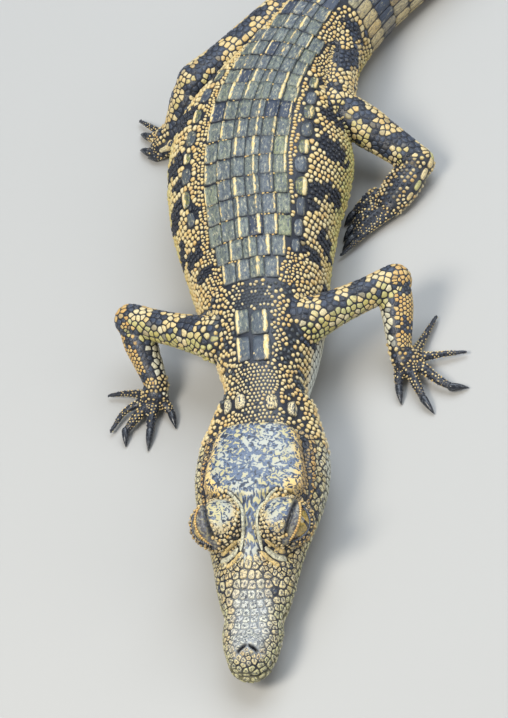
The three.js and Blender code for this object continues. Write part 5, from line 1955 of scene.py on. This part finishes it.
def growBars():
    verts, faces, tints, uvs, count = [], [], [], [], 0
    sides = barSettings["sides"]
    angle = np.linspace(0, 2 * math.pi, sides, endpoint=False)
    for name, (thick, colour, _) in headBars.items():
        for side in (1, -1):
            at, up = ontoSkin(fromHead(spaced(barLines[name, side], barSettings["step"])))
            for _ in range(2):
                up[1:-1] = unit(up[:-2] + up[1:-1] * 2 + up[2:])
                at[1:-1] = (at[:-2] + at[1:-1] * 2 + at[2:]) / 4
            across = unit(np.cross(unit(np.gradient(at, axis=0)), up))
            share = np.linspace(0, 1, len(at))
            taper = np.sqrt(np.clip(1 - np.abs(2 * share - 1) ** 7, 0.12, 1))
            radius = (thick * taper * (1 + 0.22 * fuzz(at, 0.9, 31)))[:, None]
            spread, rise = np.cos(angle) * radius, np.sin(angle) * radius
            ring = (at[:, None] + across[:, None] * (spread * barSettings["wide"])[:, :, None]
                    + up[:, None] * (rise * barSettings["tall"] + barSettings["lift"])[:, :, None])
            verts.append(ring.reshape(-1, 3))
            faces += tubeFaces(len(at), sides, count)
            count += len(at) * sides
            tint = colour * (1 + 0.12 * fuzz(at, 0.8, 32))[:, None]
            tints.append(np.repeat(tint, sides, axis=0))
            beside = np.stack([np.zeros(spread.shape), spread], 2)
            uvs.append((Places(at).unwrap()[:, None] + beside).reshape(-1, 2))
    thing = newMesh("headBars", np.vstack(verts), faces)
    giveNumbers(thing, "tint", np.vstack(tints))
    giveNumbers(thing, "edge", np.tile(np.clip(0.95 - np.sin(angle), 0, 1), count // sides))
    giveNumbers(thing, "mottle", np.full(count, barSettings["mottle"]))
    giveNumbers(thing, "grain", vertsOf(thing))
    for label in ("keel", "cream"):
        giveNumbers(thing, label, np.zeros(count))
    giveUnwrap(thing, unwrapSheet(np.vstack(uvs)))
    thing.data.materials.append(scalePaint)
    fixFaces(thing)
    return thing


bars = growBars()


# rings of beads round the eyes and along the lids, and granules behind the plates of the back

beadTree, toothTree = makeScatter("beads", beadShape), makeScatter("teeth", spikeShape)


eyeBeads = {
    # round the plate over the eye: half width, half length, step, size, first and last angle
    "rings": [(4.1, 5.95, 0.98, 0.48, 62, 300), (4.6, 6.9, 1.02, 0.48, 70, 108)],
    # along a lid: degrees past its margin, distance from the eye's middle, step, size, colour, share of cream
    "upper": (3, 5.5, 0.64, 0.33, paint.orange, 0.7), "lower": (-3.5, 5.0, 0.5, 0.26, paint.slate, 0.1),
    "ringShape": np.array([1.05, 0.92, 0.7]), "lidShape": np.array([1, 1, 0.8]),
}


def eyeRings():
    points, ups, sizes, tints = [], [], [], []

    def add(at, up, shape, first, second, share=1.0):
        points.append(at)
        ups.append(up)
        sizes.append(np.tile(shape, (len(at), 1)))
        tints.append(blend(first, second, dice.uniform(size=len(at)) * share))

    out, along = palpebral["middle"]
    for side in (1, -1):
        for wide, long, step, size, start, end in eyeBeads["rings"]:
            angle = np.radians(np.linspace(start, end, 80))
            ring = spaced(np.column_stack([out + wide * np.cos(angle), along + long * np.sin(angle)]), step)
            at, up = onHeadTop(ring[:, 0] * side, ring[:, 1])
            add(at + up * 0.05, up, size * eyeBeads["ringShape"], paint.amber, paint.pale)
        turned = np.linspace(-eyeLids["spread"] + 2, eyeLids["spread"] - 2, 200)
        for margin, lid in zip(lidMargins(turned, side), ("upper", "lower")):
            past, far, step, size, colour, share = eyeBeads[lid]
            spots = spaced(lidPoint(turned, margin + past, far, side), step)
            outward = unit(spots - fromHead(eyeMiddle(side)))
            add(spots, outward, size * eyeBeads["lidShape"], colour, paint.cream, share)
    points, ups = np.vstack(points), np.vstack(ups)
    ahead = alongSurface(headTurnRoll[:, 1], ups)
    return scatter("eyeRings", beadTree, points, ahead, ups, np.vstack(sizes), scalePaint, seed=5,
                   tints=np.vstack(tints), marks={"mottle": 0.3})


def rowGranules():
    points = []
    for row, s in enumerate(rowCentres[:-1]):
        gapAt = (s + rowCentres[row + 1]) / 2
        for arc in np.arange(-10.2, 10.3, 0.92):
            if dice.uniform() < 0.3:
                points.append((gapAt + dice.uniform(-0.12, 0.12), arc + dice.uniform(-0.2, 0.2)))
    points = np.array(points)
    at, up = ontoSkin(onBody(points))
    ahead = alongSurface(Places(at).ahead(), up)
    size = dice.uniform(0.2, 0.34, len(at))[:, None] * np.array([0.85, 1.1, 0.8])
    luck = dice.uniform(size=len(at))
    tints = blend(paint.cream, paint.orange, luck * 0.8)
    return scatter("rowGranules", beadTree, at + up * 0.16, ahead, up, size, scalePaint, seed=7, tints=tints)


rings, granules = eyeRings(), rowGranules()


# teeth that show outside the closed jaws

toothSettings = {"upper": [4.4, 7.2, 10.4, 19.2, 22.6, 26.2, 30.2, 34.4, 38.8, 43.2],
                 "upperLength": [1.1, 1.5, 1.9, 1.3, 1.7, 1.9, 1.5, 1.3, 1.2, 1.1],
                 "lower": [5.8, 8.8, 15.8, 24.4], "lowerLength": [0.9, 0.9, 2.7, 0.9], "thick": 0.40}


def growTeeth():
    points, ups, sizes = [], [], []
    for side in (1, -1):
        for spots, lengths, way in ((toothSettings["upper"], toothSettings["upperLength"], -1),
                                    (toothSettings["lower"], toothSettings["lowerLength"], 1)):
            along = np.array(spots)
            at, up = onHeadSide(side, along, mouthHeight(along) - way * 0.35)
            lean = unit(headTurnRoll[:, 2] * way + up * 0.10)
            points.append(at + up * 0.05 - lean * 0.2)
            ups.append(lean)
            thick = toothSettings["thick"] * np.sqrt(np.array(lengths) / 1.6)
            sizes.append(np.column_stack([thick, thick, lengths]))
    points, ups = np.vstack(points), np.vstack(ups)
    ahead = alongSurface(headTurnRoll[:, 1], ups)
    return scatter("teeth", toothTree, points, ahead, ups, np.vstack(sizes), toothPaint, seed=9,
                   variation=0.05)


# the comb of the tail

combSettings = {
    "twin": {"count": 17, "first": 161.0, "pitch": 6.4, "height": 1.7, "rise": 0.14, "arc": (5.4, 1.1)},
    "single": {"count": 17, "first": 269.8, "pitch": 6.6, "height": 4.4, "rise": -0.175, "arc": (0, 0)},
    "thickness": 0.85,
}


def growComb():
    fin = makeFin()
    tree = makeScatter("comb", lambda t: t.node(
        "GeometryNodeObjectInfo", {"transform_space": "ORIGINAL"}, {"Object": fin}).outputs["Geometry"])
    points, aheads, ups, sizes, tints = [], [], [], [], []
    for kind in ("twin", "single"):
        c = combSettings[kind]
        for k in range(c["count"]):
            s = c["first"] + k * c["pitch"]
            arc = mix(c["arc"][0], c["arc"][1], k / (c["count"] - 1))
            for side in ((1, -1) if arc else (0,)):
                at, up = ontoSkin(onBody(np.array([(s, side * arc)])))
                forward = np.append(spineAt(s)[1][0], -0.10)
                upright = unit(up[0] + np.array([0, 0, 0.8]))
                forward = unit(forward - upright * (forward @ upright))
                height = c["height"] + c["rise"] * k
                points.append(at[0])
                ups.append(upright)
                aheads.append(forward)
                sizes.append((c["pitch"] * 0.98, combSettings["thickness"] * (1.5 if side else 1.2), height))
                dark = 0.5 + 0.5 * tailBands(s)
                tints.append(mix(paint.olive * 0.8 + paint.cream * 0.2, paint.slate * 0.5, dark))
    comb = scatter("crestScales", tree, np.array(points), np.array(aheads), np.array(ups), np.array(sizes),
                   scalePaint, seed=12, variation=0.05, tints=np.array(tints), marks={"mottle": 0.7})
    bpy.data.objects.remove(fin)
    return comb


# eyes and claws

eyeSettings = {"radius": 4.62, "gazeTurn": -30, "gazeRaise": 16, "iris": 0.62, "bulge": 0.35}


def growEye(name, side):
    # the ball's pole looks out of the head; its marks are worked out from the gaze
    e = eyeSettings
    sides, rows = 48, 28
    turn, raised = math.radians(e["gazeTurn"]), math.radians(e["gazeRaise"])
    gaze = np.array([
        math.cos(raised) * math.cos(turn) * side, math.cos(raised) * math.sin(turn), math.sin(raised)])
    level = unit(np.cross([0, 0, 1.0], gaze))
    above = np.cross(gaze, level)
    tilt = np.linspace(0, math.pi, rows + 2)[1:-1]
    around = np.linspace(0, 2 * math.pi, sides, endpoint=False)
    bulge = 1 + e["bulge"] / e["radius"] * np.exp(-((tilt / 0.55) ** 2))
    radius = e["radius"] * bulge
    spread, depth = np.sin(tilt) * radius, np.cos(tilt) * radius
    points = (gaze * depth[:, None, None] + level * (spread[:, None] * np.cos(around))[:, :, None]
              + above * (spread[:, None] * np.sin(around))[:, :, None])
    points = points.reshape(-1, 3)
    poles = np.array([gaze * (e["radius"] + e["bulge"]), -gaze * e["radius"]])
    verts = np.vstack([points, poles])
    faces = []
    for r in range(rows - 1):
        for k in range(sides):
            n = (k + 1) % sides
            faces.append((r * sides + k, (r + 1) * sides + k, (r + 1) * sides + n, r * sides + n))
    for k in range(sides):
        n = (k + 1) % sides
        faces.append((len(points), k, n))
        faces.append((len(points) + 1, (rows - 1) * sides + n, (rows - 1) * sides + k))
    direction = unit(verts)
    x, y = direction @ level, direction @ above
    front = direction @ gaze
    thing = newMesh(name, fromHead(verts + eyeMiddle(side)), faces)
    giveNumbers(thing, "sideways", np.where(front > 0, x, 2))
    giveNumbers(thing, "upward", y)
    giveNumbers(thing, "outward", np.degrees(np.arccos(np.clip(front, -1, 1))))
    far = np.arccos(np.clip(front, -1, 1)) / math.pi
    spin = np.arctan2(y, x)
    giveUnwrap(thing, np.column_stack([0.5 + far * 0.49 * np.cos(spin), 0.5 + far * 0.49 * np.sin(spin)]))
    fixFaces(thing)
    return thing


def makeEyePaint():
    f = Finish("eyePaint")
    x, y, turned = f.number("sideways"), f.number("upward"), f.number("outward")
    fleck = f.noise(2.6, 3, 0.6)
    rays = f.noise(0.9, 4, 0.7, 1.5)
    iris = f.mix((0.42, 0.27, 0.045), (0.16, 0.13, 0.03), rays.step(0.4, 0.62))
    iris = f.mix(iris, (0.62, 0.50, 0.16), fleck.step(0.56, 0.68) * 0.7)
    iris = f.mix(iris, (0.05, 0.035, 0.015), turned.step(38, 47))
    white = f.mix((0.20, 0.13, 0.06), (0.10, 0.06, 0.03), fleck.step(0.4, 0.6))
    ball = f.mix(iris, white, turned.step(46, 50))
    slit = 1 - (abs(x) / (0.085 * (1 - y * y * 2.6) + 0.004)).step(0.8, 1.15)
    f.set(Base_Color=f.mix(ball, (0.004, 0.004, 0.005), slit * (1 - turned.step(36, 40))), Roughness=0.06,
          Specular_IOR_Level=0.6, Coat_Weight=1.0, Coat_Roughness=0.02)
    return f.material


def makeClawPaint():
    f = Finish("clawPaint")
    streak = f.noise(1.6, 3, 0.6, 0.4)
    f.set(Base_Color=f.mix((0.016, 0.019, 0.026), (0.075, 0.085, 0.10), streak.step(0.45, 0.75)),
          Roughness=streak * 0.2 + 0.16)
    f.bump(streak, 0.05)
    return f.material


def makeToothPaint():
    f = Finish("toothPaint")
    stain = f.noise(1.2, 2, 0.5)
    f.set(Base_Color=f.mix((0.78, 0.72, 0.56), (0.60, 0.50, 0.30), stain.step(0.45, 0.7)),
          Roughness=stain * 0.1 + 0.18)
    return f.material


eyePaint, clawPaint, toothPaint = makeEyePaint(), makeClawPaint(), makeToothPaint()
eyes = {"eyeLeft": growEye("eyeLeft", 1), "eyeRight": growEye("eyeRight", -1)}
for thing in eyes.values():
    thing.data.materials.append(eyePaint)
teeth, comb = growTeeth(), growComb()


def growClaws():
    pieces = {}
    for legName, (kind, *_, digits) in legs.items():
        heap, nodes = Heap(), []
        side = "left" if "Left" in legName else "right"
        for k, places in enumerate(digits[:3]):
            end, tip = np.array(places[2], float), np.array(places[3], float)
            crown = mix(end, tip, 0.55) + [0, 0, 0.45]
            t = np.linspace(0, 1, 14)[:, None]
            line = end * (1 - t) ** 2 + crown * 2 * t * (1 - t) + tip * t ** 2
            heap.tube(limbTube(line, legSizes["claw"], 0.85, 1, 0.0, 16, 18))
            nodes.append(f"claw_{'hand' if kind == 'fore' else 'foot'}_{side}_{k + 1}")
        verts = np.vstack(heap.verts)
        verts[:, 2] = np.maximum(verts[:, 2], 0.02)
        thing = newMesh("claws" + legName[0].upper() + legName[1:], verts, heap.faces)
        thing.data.materials.append(clawPaint)
        fixFaces(thing)
        pieces[thing.name] = (thing, nodes)
    return pieces


claws = growClaws()
print("stage: head details, eyes, teeth, claws and comb made")


# floor, light and camera

viewSettings = {
    "target": (-3.0, -50.0, 15.0), "distance": 1150.0, "raised": 47.0, "turned": 15.0, "tilted": 20.5,
    "lens": 231.8,
}
lightSettings = {
    # azimuth, elevation, distance, size, watts, colour
    "sky": (150, 62, 0.9, 0.85, 9.0, (0.80, 0.89, 1.0)),
    "key": (-35, 52, 0.9, 0.32, 7.2, (1.0, 0.95, 0.86)),
    "fill": (75, 30, 1.0, 0.7, 2.8, (1.0, 0.98, 0.95)),
}


def aimed(thing, place, target):
    thing.location = place
    thing.rotation_euler = (Vector(target) - Vector(place)).to_track_quat("-Z", "Y").to_euler()


def setStage():
    bpy.ops.mesh.primitive_plane_add(size=6, location=(0, 0, -0.0002))
    floor = bpy.context.object
    floor.name = "floor"
    f = Finish("floorPaint")
    f.set(Base_Color=(0.40, 0.395, 0.38), Roughness=0.75)
    floor.data.materials.append(f.material)
    world = bpy.data.worlds.new("paleRoom")
    bpy.context.scene.world = world
    bpy.context.scene.view_settings.view_transform = "Standard"
    world.use_nodes = True
    world.node_tree.nodes["Background"].inputs["Color"].default_value = (0.86, 0.92, 1.0, 1)
    world.node_tree.nodes["Background"].inputs["Strength"].default_value = 0.36
    middle = (0.005, 0.0, 0.015)
    for name, (azimuth, elevation, distance, size, watts, colour) in lightSettings.items():
        lamp = bpy.data.lights.new(name, "AREA")
        lamp.energy, lamp.size, lamp.color = watts, size, colour
        thing = bpy.data.objects.new(name, lamp)
        bpy.context.scene.collection.objects.link(thing)
        az, el = math.radians(azimuth), math.radians(elevation)
        place = [middle[0] + distance * math.sin(az) * math.cos(el),
                 middle[1] - distance * math.cos(az) * math.cos(el), middle[2] + distance * math.sin(el)]
        aimed(thing, place, middle)
    return floor


def setCamera():
    v = viewSettings
    e, p, r = (math.radians(v[k]) for k in ("raised", "turned", "tilted"))
    back = np.array([math.sin(p) * math.cos(e), -math.cos(p) * math.cos(e), math.sin(e)])
    level = np.array([math.cos(p), math.sin(p), 0])
    upright = np.array([-math.sin(p) * math.sin(e), math.cos(p) * math.sin(e), math.cos(e)])
    right = math.cos(r) * level - math.sin(r) * upright
    up = math.sin(r) * level + math.cos(r) * upright
    camera = bpy.data.objects.new("camera", bpy.data.cameras.new("camera"))
    bpy.context.scene.collection.objects.link(camera)
    camera.data.lens = v["lens"]
    place = (np.array(v["target"]) + back * v["distance"]) * 0.001
    rows = [[*row, w] for row, w in zip(np.column_stack([right, up, back]), place)]
    camera.matrix_world = Matrix(rows + [[0, 0, 0, 1]])
    bpy.context.scene.camera = camera


setStage()
setCamera()
print("stage: camera and lights set")


# hanging every piece on the root, with the parts of the frame that they replace hidden

softNodes = [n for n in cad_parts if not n.startswith(("claw", "eye"))]
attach(skin, "root")
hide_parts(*softNodes)
for name, thing in scalePieces.items():
    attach(thing, "root")
looseThings = ((bars, "skin"), (rings, "skin"), (granules, "scales"), (teeth, "teeth"), (comb, "scales"))
for thing, slot in looseThings:
    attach(thing, "root")
for name, node in (("eyeLeft", "eye_left"), ("eyeRight", "eye_right")):
    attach(eyes[name], "root")
    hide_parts(node)
for thing, nodes in claws.values():
    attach(thing, "root")
    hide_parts(*nodes)
